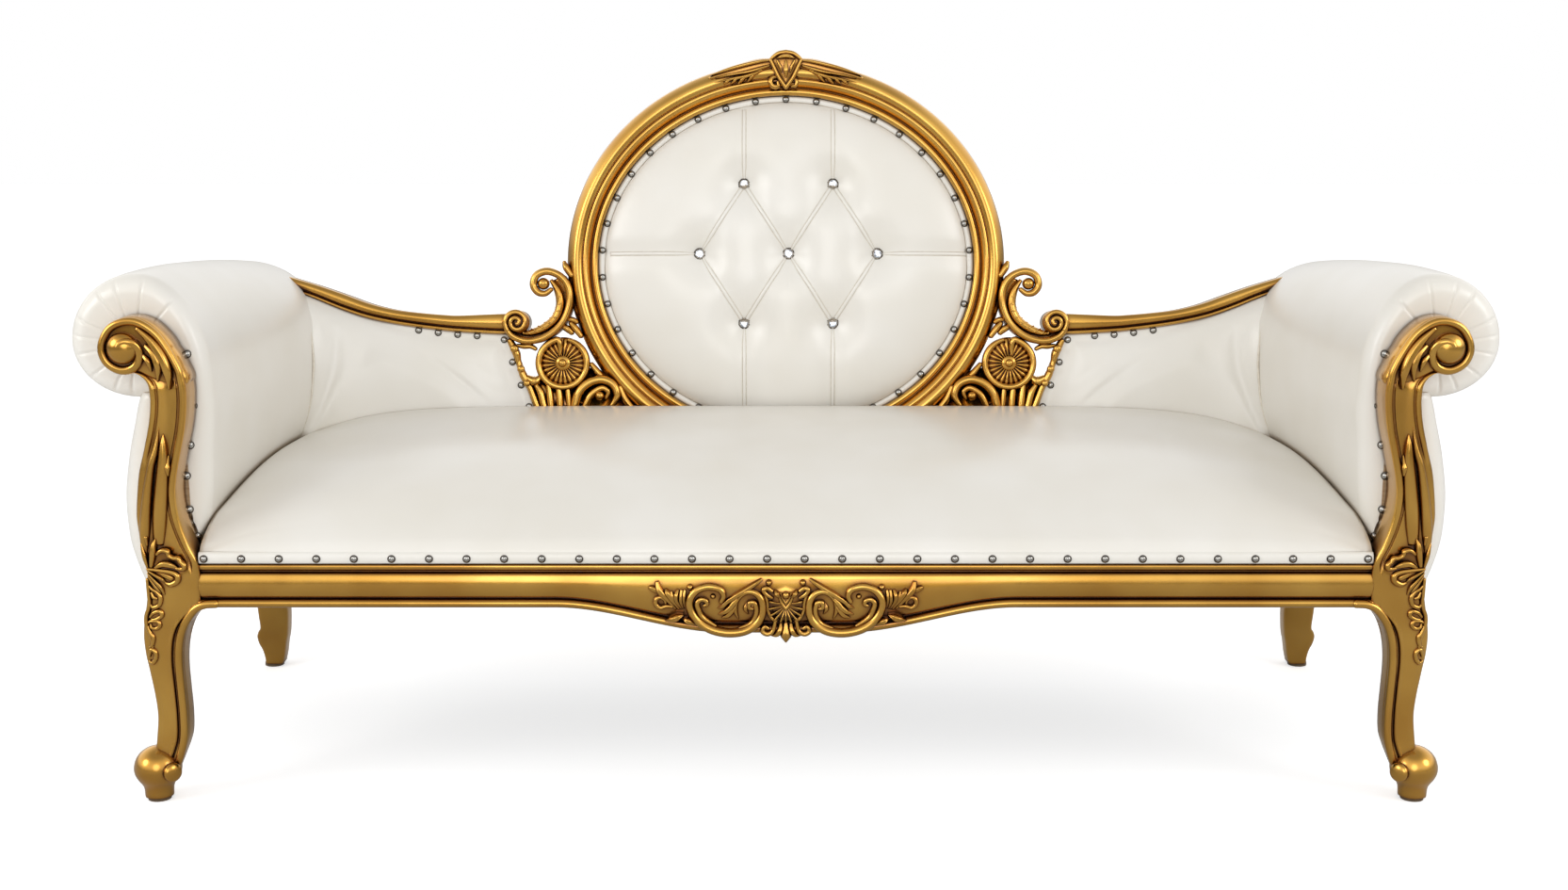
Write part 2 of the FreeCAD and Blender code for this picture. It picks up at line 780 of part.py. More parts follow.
def seat_solid(inset, bottom):
    """The crowned seat form, drawn in by an inset, up to the leaning front of the back."""
    front = rail_front + d.band_thickness + d.soft_gap
    rear = lean_y(d.seat_height)
    rises = [(0.0, 0.0), (0.02, 0.13), (0.07, 0.34), (0.18, 0.6), (0.4, 0.88), (0.65, 1.0), (1.0, 0.93)]
    sections = []
    for along, share in rises:
        y = front + inset + (rear - front - inset) * along
        sections.append(seat_outline(y, inset, bottom, share))
    form = Part.makeLoft(sections, True, True)
    stop = -max(d.ring_depth / 2, d.wing_crown + d.wing_board_thickness) - d.seat_arm_gap - inset
    return form.cut(behind_back_plane(stop))


def make_seat():
    """Burlap over the springs, the foam, the leather cover drawn over it and the nailed border."""
    front = rail_front + d.band_thickness + d.soft_gap
    half = hip_inner - d.soft_gap
    clip_top = spring_top + d.clip_thickness
    base = clip_top + d.burlap_thickness
    feature("seat_burlap", block(Vector(-half, front, clip_top), Vector(half, rear_rail_front, base)))
    hollow = seat_solid(d.cover_thickness, base - d.seat_front_rise)
    feature("seat_cover", seat_solid(0.0, base).cut(hollow))
    feature("seat_foam", seat_solid(d.cover_thickness + d.soft_gap, base))
    board(
        "seat_border",
        (
            "2 * (sizes.overall_width / 2 - sizes.roll_side_pad - sizes.hip_inset"
            " - sizes.hip_width / 2 - sizes.seat_arm_gap)",
            "sizes.band_thickness",
            "sizes.band_width",
        ),
        Vector(d.seat_arm_gap - hip_inner, rail_front, rail_top),
    )
    count = int(d.seat_nail_count)
    span = 2 * (hip_inner - d.seat_arm_gap - 1.6 * d.nail_radius)
    nails = []
    for index in range(count):
        x = (index / (count - 1) - 0.5) * span
        nails.append(nail(Vector(x, rail_front, rail_top + d.band_width / 2), Vector(0, -1, 0)))
    feature("seat_nails", Part.makeCompound(nails))
    make_dust_cover()


def make_dust_cover():
    """Thin black cloth stapled under the seat frame, notched round the legs."""
    low_z = d.rail_bottom_height - d.dust_cover_thickness
    rear = rear_rail_front + d.rear_rail_thickness
    notch = side_rail_end() - d.stile_depth
    middle = block(Vector(-stile_inner, post_back, low_z), Vector(stile_inner, rear, d.rail_bottom_height))
    sides = block(Vector(-stile_outer, post_back, low_z), Vector(stile_outer, notch, d.rail_bottom_height))
    feature("dust_cover", middle.fuse(sides).removeSplitter())


# Arms


def arm_outline(y, inner, inset):
    """One upright section through the left arm's padding: inside face, roll over the top and underside."""
    top = Vector(-roll_x + inset / 4, y, arm_height_at(y, inset))
    base_z = tack_top + d.soft_gap
    under_z = roll_z - d.roll_bottom_pad + inset
    outer_x = roll_x + d.roll_side_pad - inset
    turn_z = under_z + inset / 2
    inner_x = inner + d.arm_front_draw * inset
    start = Vector(-inner_x, y, turn_z)
    side = Vector(-outer_x, y, roll_z)
    under = Vector(-(roll_x + 0.2 * d.roll_side_pad), y, under_z)
    half = math.sqrt(0.5)

    def between(a, b, round_a):
        """The middle of a quarter turn from a to b; round_a tells which end runs upright."""
        hub = Vector(b.x, y, a.z) if round_a else Vector(a.x, y, b.z)
        return hub + (a - hub) * half + (b - hub) * half

    back = Vector(-board_inner, y, under_z)
    foot = Vector(-board_inner, y, base_z)
    toe = Vector(-inner_x, y, base_z)
    edges = [
        Part.LineSegment(toe, start),
        Part.Arc(start, between(start, top, True), top),
        Part.Arc(top, between(top, side, False), side),
        Part.Arc(side, between(side, under, True), under),
        Part.LineSegment(under, back),
        Part.LineSegment(back, foot),
        Part.LineSegment(foot, toe),
    ]
    return Part.Wire([edge.toShape() for edge in edges])


def arm_height_at(y, inset):
    """Height of the arm's top at a depth, where its front edge is rounded in by an inset."""
    share = min(max((y - post_back) / (back_y - post_back), 0.0), 1.0)
    return d.arm_height - d.arm_fall * share - inset


def arm_front_inset(y):
    """How far the arm's rounded front edge is drawn in, at a depth behind the post."""
    round_share = 1 - (y - post_back - d.soft_gap) / d.arm_front_round
    return 0.75 * d.arm_front_round * (1 - math.sqrt(1 - round_share**2))


def arm_front_edge(y):
    """A level point on the left arm's inside face where its front edge is rounded."""
    return Vector(-arm_inner(y) - d.arm_front_draw * arm_front_inset(y), y, 0)


def arm_form(grow):
    """The left arm's padding before the frame is let into it, grown by a distance."""
    front = post_back + d.soft_gap
    sections = []
    turns = 4
    for step in range(turns + 1):
        angle = math.radians(90 * step / turns)
        y = front + d.arm_front_round * (1 - math.cos(angle))
        inset = arm_front_inset(y) - grow
        sections.append(arm_outline(y, arm_inner(y), inset))
    for share in (0.35, 0.7, 1.0):
        y = front + (back_y - front) * share
        sections.append(arm_outline(y, arm_inner(y), -grow))
    sections.append(arm_outline(back_y + 3 * d.ring_depth, arm_inner_rear, -grow))
    return Part.makeLoft(sections, True, True)


def roll_rail_axis():
    """Middle of the hidden round rail in the arm's roll."""
    return Vector(d.roll_rail_inset - roll_x, post_back, roll_z - d.roll_rail_radius / 4)


def make_arms():
    """Each arm: round rail in the roll, tack rail and board inside it, padding, and the outside panel."""
    axis = roll_rail_axis()
    stile_offset = panel_y - d.soft_gap - d.stile_depth
    rail_end = behind_back_plane(stile_offset)
    rod = Part.makeCylinder(d.roll_rail_radius, FAR, axis, AXIS_Y).cut(rail_end)
    left = feature("arm_roll_rail_left", rod)
    mirrored("arm_roll_rail_right", left)
    tack_outer = tack_inner + d.tack_rail_width
    tack = block(Vector(-tack_outer, post_back, rail_top), Vector(-tack_inner, FAR, tack_top))
    left = feature("arm_tack_rail_left", tack.cut(rail_end))
    mirrored("arm_tack_rail_right", left)
    board_outer = board_inner + d.arm_board_thickness
    under_z = roll_z - d.roll_bottom_pad - d.soft_gap
    inside = block(
        Vector(-board_outer, post_back, tack_top),
        Vector(-board_inner - d.soft_gap, FAR, under_z),
    )
    left = feature("arm_board_left", inside.cut(rail_end))
    mirrored("arm_board_right", left)
    pocket = Part.makeCylinder(d.roll_rail_radius + d.soft_gap, FAR, axis, AXIS_Y)
    stile_room = block(
        Vector(-stile_outer - d.soft_gap, stile_offset - d.soft_gap, 0),
        Vector(-stile_inner + d.soft_gap, FAR, stile_top() + d.stile_width / 4),
    )
    rail_room = wing_rail_solid(d.soft_gap)
    padding = arm_form(0.0).cut(behind_back_plane(panel_y - d.soft_gap)).cut(pocket)
    padding = padding.cut(leaned(stile_room)).cut(leaned(rail_room))
    left = feature("arm_pad_left", largest_solid(padding))
    mirrored("arm_pad_right", left)
    low = Vector(-stile_outer - d.soft_gap, post_back + d.soft_gap, d.rail_bottom_height)
    low_outer = low - Vector(d.outside_arm_thickness, 0, 0)
    high = Vector(low.x, low.y, under_z)
    high_outer = high - Vector(d.outside_arm_thickness, 0, 0)
    belly = (low_outer + high_outer) * 0.5 - Vector(d.outside_arm_bulge, 0, 0)
    outline = Part.Wire(
        [
            Part.LineSegment(high, low).toShape(),
            Part.LineSegment(low, low_outer).toShape(),
            Part.Arc(low_outer, belly, high_outer).toShape(),
            Part.LineSegment(high_outer, high).toShape(),
        ]
    )
    panel = Part.Face(outline).extrude(Vector(0, FAR, 0)).cut(behind_back_plane(panel_y - d.soft_gap))
    left = feature("outside_arm_left", panel)
    mirrored("outside_arm_right", left)
    make_arm_nails()


def largest_solid(shape):
    """The main solid of a trimmed shape, without loose slivers."""
    return max(shape.Solids, key=lambda solid: solid.Volume)


def make_arm_nails():
    """Nails along the inside of each post, through the front edge of the arm's leather."""
    count = int(d.arm_nail_count)
    near = post_back + d.soft_gap + 0.2 * d.nail_radius
    slope = arm_front_edge(near + 2 * d.nail_radius) - arm_front_edge(near)
    facing = Vector(slope.y, -slope.x, 0).normalize()
    seat = arm_front_edge(near + d.nail_radius) + facing * d.soft_gap
    low = rail_top + d.seat_front_rise + d.tack_rail_height
    high = roll_z - d.roll_bottom_pad - 2 * d.nail_radius
    nails = []
    for index in range(count):
        z = low + (high - low) * index / (count - 1)
        nails.append(nail(seat + Vector(0, 0, z), facing))
    left = feature("arm_nails_left", Part.makeCompound(nails))
    mirrored("arm_nails_right", left)


# Medallion: drawn round, stretched sideways to its oval and leaned with the back


def oval(shape):
    """A round form stretched sideways to the medallion's oval and set at its middle."""
    stretch = FreeCAD.Matrix()
    stretch.A11 = ring_stretch
    stretch.A34 = ring_center.z
    return shape.transformGeometry(stretch)


def turned(points):
    """A ring or disc turned about the medallion's axis from lines, or arcs given by a middle point."""
    edges = []
    for (start, via), (end, _) in zip(points, points[1:] + points[:1]):
        a = Vector(start[0], start[1], 0)
        b = Vector(end[0], end[1], 0)
        if via is None:
            edges.append(Part.LineSegment(a, b).toShape())
        else:
            edges.append(Part.Arc(a, Vector(via[0], via[1], 0), b).toShape())
    return Part.Face(Part.Wire(edges)).revolve(Vector(0, 0, 0), AXIS_Y, 360)


def ring_form():
    """The moulded ring: a broad outer torus, a cove and an inner bead, with a rebate behind."""
    outer = ring_z
    inner = ring_z - d.ring_width
    back = d.ring_depth / 2
    shoulder = back - d.rebate_depth
    bead = inner + d.ring_bead_width
    front = -d.ring_depth / 2
    edge = front + d.ring_depth / 3
    cove = bead + d.ring_bead_width / 3
    return turned(
        [
            ((inner, shoulder), None),
            ((inner, edge), ((inner + bead) / 2, edge - d.ring_bead_width / 2)),
            ((bead, edge), None),
            ((cove, edge), ((cove + outer) / 2, front)),
            ((outer, edge + d.ring_bead_width / 2), None),
            ((outer, back), None),
            ((inner + d.rebate_width, back), None),
            ((inner + d.rebate_width, shoulder), None),
        ]
    )


def button_points():
    """Places of the seven buttons, from the medallion's middle, before it is stretched."""
    across = d.button_spacing / ring_stretch
    up = d.button_row_spacing
    points = [Vector(column * across, 0, d.button_rise) for column in (-1, 0, 1)]
    for column in (-1, 1):
        for row in (-1, 1):
            points.append(Vector(column * across / 2, 0, d.button_rise + row * up))
    return points


def channel_ends(points):
    """The sewn folds: diamonds between the buttons, and runs from the outer buttons to the rim."""
    left, middle, right, low_left, high_left, low_right, high_right = points
    rim = pad_rim()
    pairs = []
    for a in (left, middle):
        pairs += [(a, low_left), (a, high_left)]
    for a in (middle, right):
        pairs += [(a, low_right), (a, high_right)]
    pairs.append((left, Vector(-math.sqrt(rim**2 - left.z**2), 0, left.z)))
    pairs.append((right, Vector(math.sqrt(rim**2 - right.z**2), 0, right.z)))
    for button in (low_left, high_left, low_right, high_right):
        side = 1 if button.z > d.button_rise else -1
        pairs.append((button, Vector(button.x, 0, side * math.sqrt(rim**2 - button.x**2))))
    return pairs


def pad_rim():
    """Radius at which the medallion's crowned pad meets its nailed border."""
    return ring_z - d.ring_width - d.soft_gap - d.band_width


def pad_levels():
    """Depths of the pad's back, its flange under the border and its crown."""
    back = d.ring_depth / 2 - d.rebate_depth
    flange = back - d.ring_depth / 4
    return back, flange, flange - d.medallion_crown


def crown_depth(point):
    """Depth of the pad's crowned face at a place, before the tufts are drawn in."""
    back, flange, crown = pad_levels()
    share = min(1.0, math.hypot(point.x, point.z) / pad_rim())
    sphere = (pad_rim() ** 2 + (flange - crown) ** 2) / (2 * (flange - crown))
    hub = crown + sphere
    return hub - math.sqrt(sphere**2 - (share * pad_rim()) ** 2)


def dimple_bowl():
    """Radius of the round hollow that each button draws in."""
    return (d.dimple_radius**2 + d.dimple_depth**2) / (2 * d.dimple_depth)


def medallion_pad_form():
    """The crowned leather pad with its tufts drawn in at the buttons and along the sewn folds."""
    back, flange, crown = pad_levels()
    rim = pad_rim()
    edge = ring_z - d.ring_width - d.soft_gap
    half = math.sqrt(0.5)
    mid_r = rim * half
    mid_y = crown_depth(Vector(mid_r, 0, 0))
    pad = turned(
        [
            ((0, back), None),
            ((edge, back), None),
            ((edge, flange), None),
            ((rim, flange), (mid_r, mid_y)),
            ((0, crown), None),
        ]
    )
    points = button_points()
    bowl = dimple_bowl()
    for point in points:
        hollow = Vector(point.x, crown_depth(point) + d.dimple_depth - bowl, point.z)
        pad = pad.cut(Part.makeSphere(bowl, hollow))
    for a, b in channel_ends(points):
        start = Vector(a.x, crown_depth(a), a.z)
        end = Vector(b.x, crown_depth(b), b.z)
        along = end - start
        pad = pad.cut(Part.makeCylinder(d.channel_radius, along.Length, start, along))
    return pad


def make_medallion():
    trim = below_rear_rail_top()
    ring = oval(ring_form()).cut(trim)
    feature("medallion_frame", ring, back_place)
    back, flange, crown = pad_levels()
    rebate = ring_z - d.ring_width + d.rebate_width - d.soft_gap
    board_back = back + d.medallion_board_thickness
    backing = disc(0, 0, rebate, back, board_back)
    feature("medallion_board", oval(backing), back_place)
    feature("medallion_pad", oval(medallion_pad_form()), back_place)
    edge = ring_z - d.ring_width - d.soft_gap
    border = turned(
        [
            ((pad_rim(), flange), None),
            ((edge, flange), None),
            ((edge, flange - d.band_thickness), None),
            ((pad_rim(), flange - d.band_thickness), None),
        ]
    )
    border = border.cut(turned_pad_bulge())
    feature("medallion_border", oval(border), back_place)
    shell = disc(0, 0, rebate, board_back, board_back + d.back_panel_thickness)
    feature("medallion_back_panel", oval(shell), back_place)
    make_medallion_nails(flange - d.band_thickness, edge - d.band_width / 2)
    make_buttons()


def turned_pad_bulge():
    """The space that the crowned face takes up just inside the border."""
    back, flange, crown = pad_levels()
    half = math.sqrt(0.5)
    mid_r = pad_rim() * half
    return turned(
        [
            ((0, flange + d.band_thickness), None),
            ((pad_rim(), flange), (mid_r, crown_depth(Vector(mid_r, 0, 0)))),
            ((0, crown), None),
        ]
    )


def make_medallion_nails(level, radius):
    """Nails at even angles round the medallion's border."""
    count = int(d.ring_nail_count)
    nails = []
    for index in range(count):
        angle = 2 * math.pi * (index + 0.5) / count
        x = radius * ring_stretch * math.cos(angle)
        z = radius * math.sin(angle)
        nails.append(nail(Vector(x, level, z) + ring_center, Vector(0, -1, 0)))
    feature("medallion_nails", Part.makeCompound(nails), back_place)


def make_buttons():
    """A cut stone in a metal setting at each tuft."""
    settings = []
    stones = []
    bowl = dimple_bowl()
    for point in button_points():
        lift = bowl - math.sqrt(bowl**2 - d.setting_radius**2) + d.soft_gap
        floor = crown_depth(point) + d.dimple_depth - lift
        seat = Vector(point.x * ring_stretch, floor, point.z) + ring_center
        out = Vector(0, -1, 0)
        settings.append(Part.makeCylinder(d.setting_radius, d.setting_height, seat, out))
        lip = seat + out * d.setting_height
        stones.append(Part.makeCone(d.stone_radius, d.stone_radius / 2, d.stone_height, lip, out))
    feature("button_settings", Part.makeCompound(settings), back_place)
    feature("button_stones", Part.makeCompound(stones), back_place)


# Wings and spandrels, drawn upright on the left and leaned with the back


def bar_x(height):
    """How far out the spandrel's slanting outer bar lies, at a height."""
    top = rail_top + d.wing_rail_start - d.wing_rail_height / 2
    return ring_x + d.spandrel_width + (height - top) * d.spandrel_slant


def wing_rail_points():
    """Start, middle and end of the wing rail's middle line: it sags and then climbs to the stile."""
    start = Vector(-(ring_x + d.spandrel_width - d.volute_inset), 0, rail_top + d.wing_rail_start)
    end = Vector(-stile_inner, 0, start.z + d.wing_rail_climb)
    middle = (start + end) * 0.5 - Vector(0, 0, d.wing_rail_sag)
    return start, middle, end


def wing_rail_arc():
    """Centre and radius of the wing rail's middle line."""
    circle = Part.Circle(*wing_rail_points())
    return circle.Center, circle.Radius


def wing_rail_solid(grow):
    """The curved top rail of the left wing, grown by a distance all round."""
    start, middle, end = wing_rail_points()
    center, radius = wing_rail_arc()
    half_z = d.wing_rail_height / 2 + grow
    half_y = d.wing_rail_depth / 2 + grow
    corner = min(d.wing_rail_height, d.wing_rail_depth) / 4
    toward = (start - center).normalize()
    outline = rounded_rectangle(Vector(radius, 0, 0), 2 * half_z, 2 * half_y, corner)
    face = Part.Face(outline)
    angle = math.degrees(math.atan2(toward.z, toward.x))
    swing = toward.getAngle((end - center).normalize())
    solid = face.revolve(Vector(0, 0, 0), AXIS_Y, math.degrees(swing))
    solid.rotate(Vector(0, 0, 0), AXIS_Y, -angle)
    solid.translate(center)
    return solid


def wing_outline(y, inset):
    """The wing panel's outline: slanting inner edge, curved top under the rail, upright outer edge."""
    center, radius = wing_rail_arc()
    low = rear_rail_top - 2 * d.ring_seat + inset
    reach = radius + d.wing_rail_height / 2 + d.soft_gap + inset

    def top_at(x):
        return center.z - math.sqrt(reach**2 - (x - center.x) ** 2)

    outer = -arm_inner_rear + d.seat_arm_gap + inset
    inner = -bar_x(rail_top + d.wing_rail_start) - d.soft_gap - inset
    for _ in range(8):
        inner = -bar_x(top_at(inner)) - d.soft_gap - inset
    low_inner = Vector(-bar_x(low) - d.soft_gap - inset, y, low)
    high_inner = Vector(inner, y, top_at(inner))
    high_outer = Vector(outer, y, top_at(outer))
    middle_x = (inner + outer) / 2
    edges = [
        Part.LineSegment(Vector(outer, y, low), low_inner),
        Part.LineSegment(low_inner, high_inner),
        Part.Arc(high_inner, Vector(middle_x, y, top_at(middle_x)), high_outer),
        Part.LineSegment(high_outer, Vector(outer, y, low)),
    ]
    return Part.Wire([edge.toShape() for edge in edges])


def make_wings():
    """Each wing: its gilt top rail with a volute, a board, the padded face, nails and the outside panel."""
    start, middle, end = wing_rail_points()
    half_y = d.wing_rail_depth / 2
    volute = disc(start.x, start.z, d.volute_radius, -half_y - d.rosette_relief / 2, half_y)
    rail = wing_rail_solid(0.0).fuse(volute).removeSplitter()
    left = feature("wing_rail_left", rail, back_place)
    mirrored("wing_rail_right", left)
    trim = below_rear_rail_top()
    face = -d.wing_board_thickness
    backing = Part.Face(wing_outline(face, d.soft_gap)).extrude(Vector(0, d.wing_board_thickness, 0))
    left = feature("wing_board_left", backing.cut(trim), back_place)
    mirrored("wing_board_right", left)
    flange = face - d.wing_flange
    crown = face - d.wing_crown
    shoulder = (flange + 3 * crown) / 4
    edge = d.band_width
    steps = [(flange, edge), (shoulder, edge + 0.4 * d.wing_crown), (crown, edge + 1.4 * d.wing_crown)]
    dome = Part.makeLoft([wing_outline(y, inset) for y, inset in steps], True, True)
    border = Part.Face(wing_outline(flange, 0.0)).extrude(Vector(0, d.wing_flange, 0))
    padding = border.fuse(dome).cut(trim)
    left = feature("wing_pad_left", padding, back_place)
    mirrored("wing_pad_right", left)
    make_wing_nails(flange)
    make_outside_back()


def make_wing_nails(level):
    """Nails down the wing's slanting inner edge and along its top, where the leather is tacked."""
    count = int(d.wing_nail_count)
    outline = wing_outline(level, d.band_width / 2)
    slant, top = outline.Edges[1], outline.Edges[2]
    low = (d.seat_height - rear_rail_top) / (slant.Vertexes[1].Z - slant.Vertexes[0].Z)
    margin = d.nail_radius / slant.Length
    nails = []
    for index in range(count):
        share = margin + (1 - 2 * margin) * index / (count - 1)
        nails.append(nail(on_edge(slant, low + (1 - low) * share), Vector(0, -1, 0)))
        nails.append(nail(on_edge(top, (index + 0.5) / count), Vector(0, -1, 0)))
    left = feature("wing_nails_left", Part.makeCompound(nails), back_place)
    mirrored("wing_nails_right", left)


def on_edge(edge, share):
    """The point at a share of an edge's length."""
    first, last = edge.ParameterRange
    return edge.valueAt(first + (last - first) * share)


def make_outside_back():
    """The leather panel behind each wing and arm, between the spandrel and the arm's roll."""
    rear = panel_y + d.outside_back_thickness
    slab = block(Vector(-FAR, panel_y, rear_rail_top), Vector(0, rear, FAR))
    wing = Part.Face(wing_outline(panel_y, -d.wing_rail_height / 2))
    wing = wing.extrude(Vector(0, d.outside_back_thickness, 0))
    low = block(Vector(-stile_outer, panel_y, rail_top), Vector(-arm_inner_rear, rear, roll_z))
    arm = arm_form(0.0).common(leaned(slab))
    panel = leaned(wing).multiFuse([arm, leaned(low)])
    panel = panel.cut(block(Vector(-FAR, -FAR, -FAR), Vector(FAR, FAR, rear_rail_top)))
    left = feature("outside_back_left", largest_solid(panel.removeSplitter()))
    mirrored("outside_back_right", left)


def make_spandrels():
    """The pierced bracket between ring and wing: plate, slanting bar, rosette and C-scroll."""
    start, middle, end = wing_rail_points()
    half = d.spandrel_plate / 2
    low = rear_rail_top - 2 * d.ring_seat
    curl_hub = Vector(start.x + 0.52 * d.curl_radius, -half, start.z + 0.42 * d.curl_radius)
    plate_top = curl_hub.z - d.curl_radius
    plate = prism(
        [
            (-bar_x(low), low),
            (-bar_x(plate_top), plate_top),
            (curl_hub.x, plate_top),
            (curl_hub.x + d.curl_radius, curl_hub.z),
            (-ring_x / 2, curl_hub.z),
            (-ring_x / 2, low),
        ],
        -half,
        half,
    )
    bar_width = d.curl_wire * 1.5
    bar = prism(
        [
            (-bar_x(low), low),
            (-bar_x(start.z), start.z),
            (bar_width - bar_x(start.z), start.z),
            (bar_width - bar_x(low), low),
        ],
        -half - d.rosette_relief / 2,
        half,
    )
    rosette = Vector(-(ring_x + d.curl_wire / 2), 0, start.z - d.rosette_drop)
    flower = disc(rosette.x, rosette.z, d.rosette_radius, -half - d.rosette_relief, 0)
    dish = Part.makeSphere(d.rosette_radius, Vector(rosette.x, -half - 1.72 * d.rosette_radius, rosette.z))
    boss = Part.makeSphere(d.rosette_radius / 4, Vector(rosette.x, -half - d.rosette_relief / 2, rosette.z))
    scroll = curl(curl_hub, d.curl_radius, d.curl_wire, -150, 210)
    tip_angle = math.radians(60)
    tip_reach = d.curl_radius - d.curl_tip_radius + d.curl_wire
    tip = curl_hub + Vector(math.cos(tip_angle), 0, math.sin(tip_angle)) * tip_reach
    knob = disc(tip.x, tip.z, d.curl_tip_radius, -half - d.curl_wire, -half + d.curl_wire)
    low_hub = Vector(rosette.x + 1.4 * d.rosette_radius, -half, rosette.z - 1.3 * d.rosette_radius)
    low_scroll = curl(low_hub, 0.62 * d.rosette_radius, d.curl_wire, -60, 270)
    hole_x = (rosette.x - d.rosette_radius - bar_x(rosette.z) + bar_width) / 2
    hole_r = (bar_x(rosette.z) - bar_width + rosette.x - d.rosette_radius) / 2 - 1
    pierced = plate.cut(disc(hole_x, rosette.z, max(hole_r, 1), -FAR, FAR))
    bracket = pierced.multiFuse([bar, flower.cut(dish), boss, scroll, knob, low_scroll])
    ring_bar = oval(disc(0, 0, ring_z, -FAR / 10, FAR / 10))
    room = disc(start.x, start.z, d.volute_radius, -FAR, FAR).fuse(wing_rail_solid(0.0))
    bracket = bracket.cut(ring_bar).cut(room).cut(below_rear_rail_top())
    left = feature("spandrel_left", largest_solid(bracket), back_place)
    mirrored("spandrel_right", left)


# Planted carving


def leaf(tip_a, tip_b, belly, depth, relief):
    """A leaf in X and Z between two tips, swollen to one side, standing off a face by a relief."""
    along = tip_b - tip_a
    across = Vector(-along.z, 0, along.x).normalize()
    middle = (tip_a + tip_b) * 0.5
    upper = Part.Arc(tip_a, middle + across * belly, tip_b)
    lower = Part.Arc(tip_b, middle - across * belly * 0.4, tip_a)
    face = Part.Face(Part.Wire([upper.toShape(), lower.toShape()]))
    solid = face.extrude(Vector(0, depth + relief, 0))
    solid.translate(Vector(0, -relief, 0))
    return solid


def make_crest():
    """The crest on top of the ring: a boss with two leaves to each side, let onto the moulding."""
    top = ring_z
    front = -d.ring_depth / 2
    mid = ring_z - d.ring_width / 2 + d.ring_bead_width / 2
    parts = []
    length = d.crest_leaf_length / ring_stretch
    for side in (-1, 1):
        for radius, share in ((mid + d.ring_width / 5, 1.0), (mid - d.ring_width / 8, 0.86)):
            start = math.radians(90) - side * 0.18 * length / radius
            end = math.radians(90) - side * share * length / radius
            tip_a = Vector(radius * math.cos(start), 0, radius * math.sin(start))
            tip_b = Vector(radius * math.cos(end), 0, radius * math.sin(end))
            if side > 0:
                tip_a, tip_b = tip_b, tip_a
            one = leaf(tip_b, tip_a, -d.ring_width / 6, d.ring_depth / 2, d.carving_relief)
            one.translate(Vector(0, front, 0))
            parts.append(one)
    boss_radius = (d.ring_width - d.ring_bead_width + d.crest_rise) / 2
    boss = disc(0, top + d.crest_rise - boss_radius, boss_radius, front - d.carving_relief, -front / 2)
    crest = boss.multiFuse(parts).cut(ring_form())
    feature("crest_carving", oval(Part.makeCompound(crest.Solids)), back_place)


def shell_form(hub):
    """A scallop shell that fans out downwards, its rim scalloped between the ribs."""
    ribs = int(d.shell_ribs)
    root = hub + Vector(0, 0, d.shell_radius / 3)
    fan = 150 / ribs

    def rim(degrees, reach):
        angle = math.radians(degrees)
        return hub + Vector(math.cos(angle), 0, math.sin(angle)) * reach

    edges = []
    last = root
    for index in range(ribs):
        start = -90 - 75 + fan * index
        first = rim(start, d.shell_radius)
        if index == 0:
            edges.append(Part.LineSegment(last, first).toShape())
        last = rim(start + fan, d.shell_radius)
        edges.append(Part.Arc(first, rim(start + fan / 2, 1.16 * d.shell_radius), last).toShape())
    edges.append(Part.LineSegment(last, root).toShape())
    fan_solid = Part.Face(Part.Wire(edges)).extrude(Vector(0, -d.carving_relief, 0))
    boss = disc(hub.x, root.z, d.shell_radius / 3, hub.y - 1.3 * d.carving_relief, hub.y)
    return fan_solid.fuse(boss)


def make_apron_carving():
    """The shell, two C-scrolls with their eyes and two leaves planted on the middle of the front rail."""
    y = rail_front
    bottom = d.rail_bottom_height - d.apron_drop
    middle_z = bottom + d.shell_radius
    radius = d.apron_scroll_radius
    parts = [shell_form(Vector(0, y, middle_z))]
    front = block(Vector(-FAR, -FAR, -FAR), Vector(FAR, y, FAR))
    for side in (-1, 1):
        center = Vector(side * d.apron_scroll_spacing, y, middle_z + d.shell_radius / 5)
        parts.append(curl(center, radius, d.bead_radius, 150 if side < 0 else 110, 280).common(front))
        eye = center + Vector(-side * radius / 3, 0, radius / 3)
        parts.append(Part.makeSphere(1.2 * d.bead_radius, eye).common(front))
        tail = center + Vector(side * (radius + 1.5 * d.bead_radius), 0, radius / 3)
        tip = tail + Vector(side * 2 * radius, 0, radius / 4)
        blade = leaf(tail, tip, side * radius / 3, 0, 0.8 * d.carving_relief)
        parts.append(blade)
    solids = [solid for part in parts for solid in part.Solids]
    feature("apron_carving", Part.makeCompound(solids))


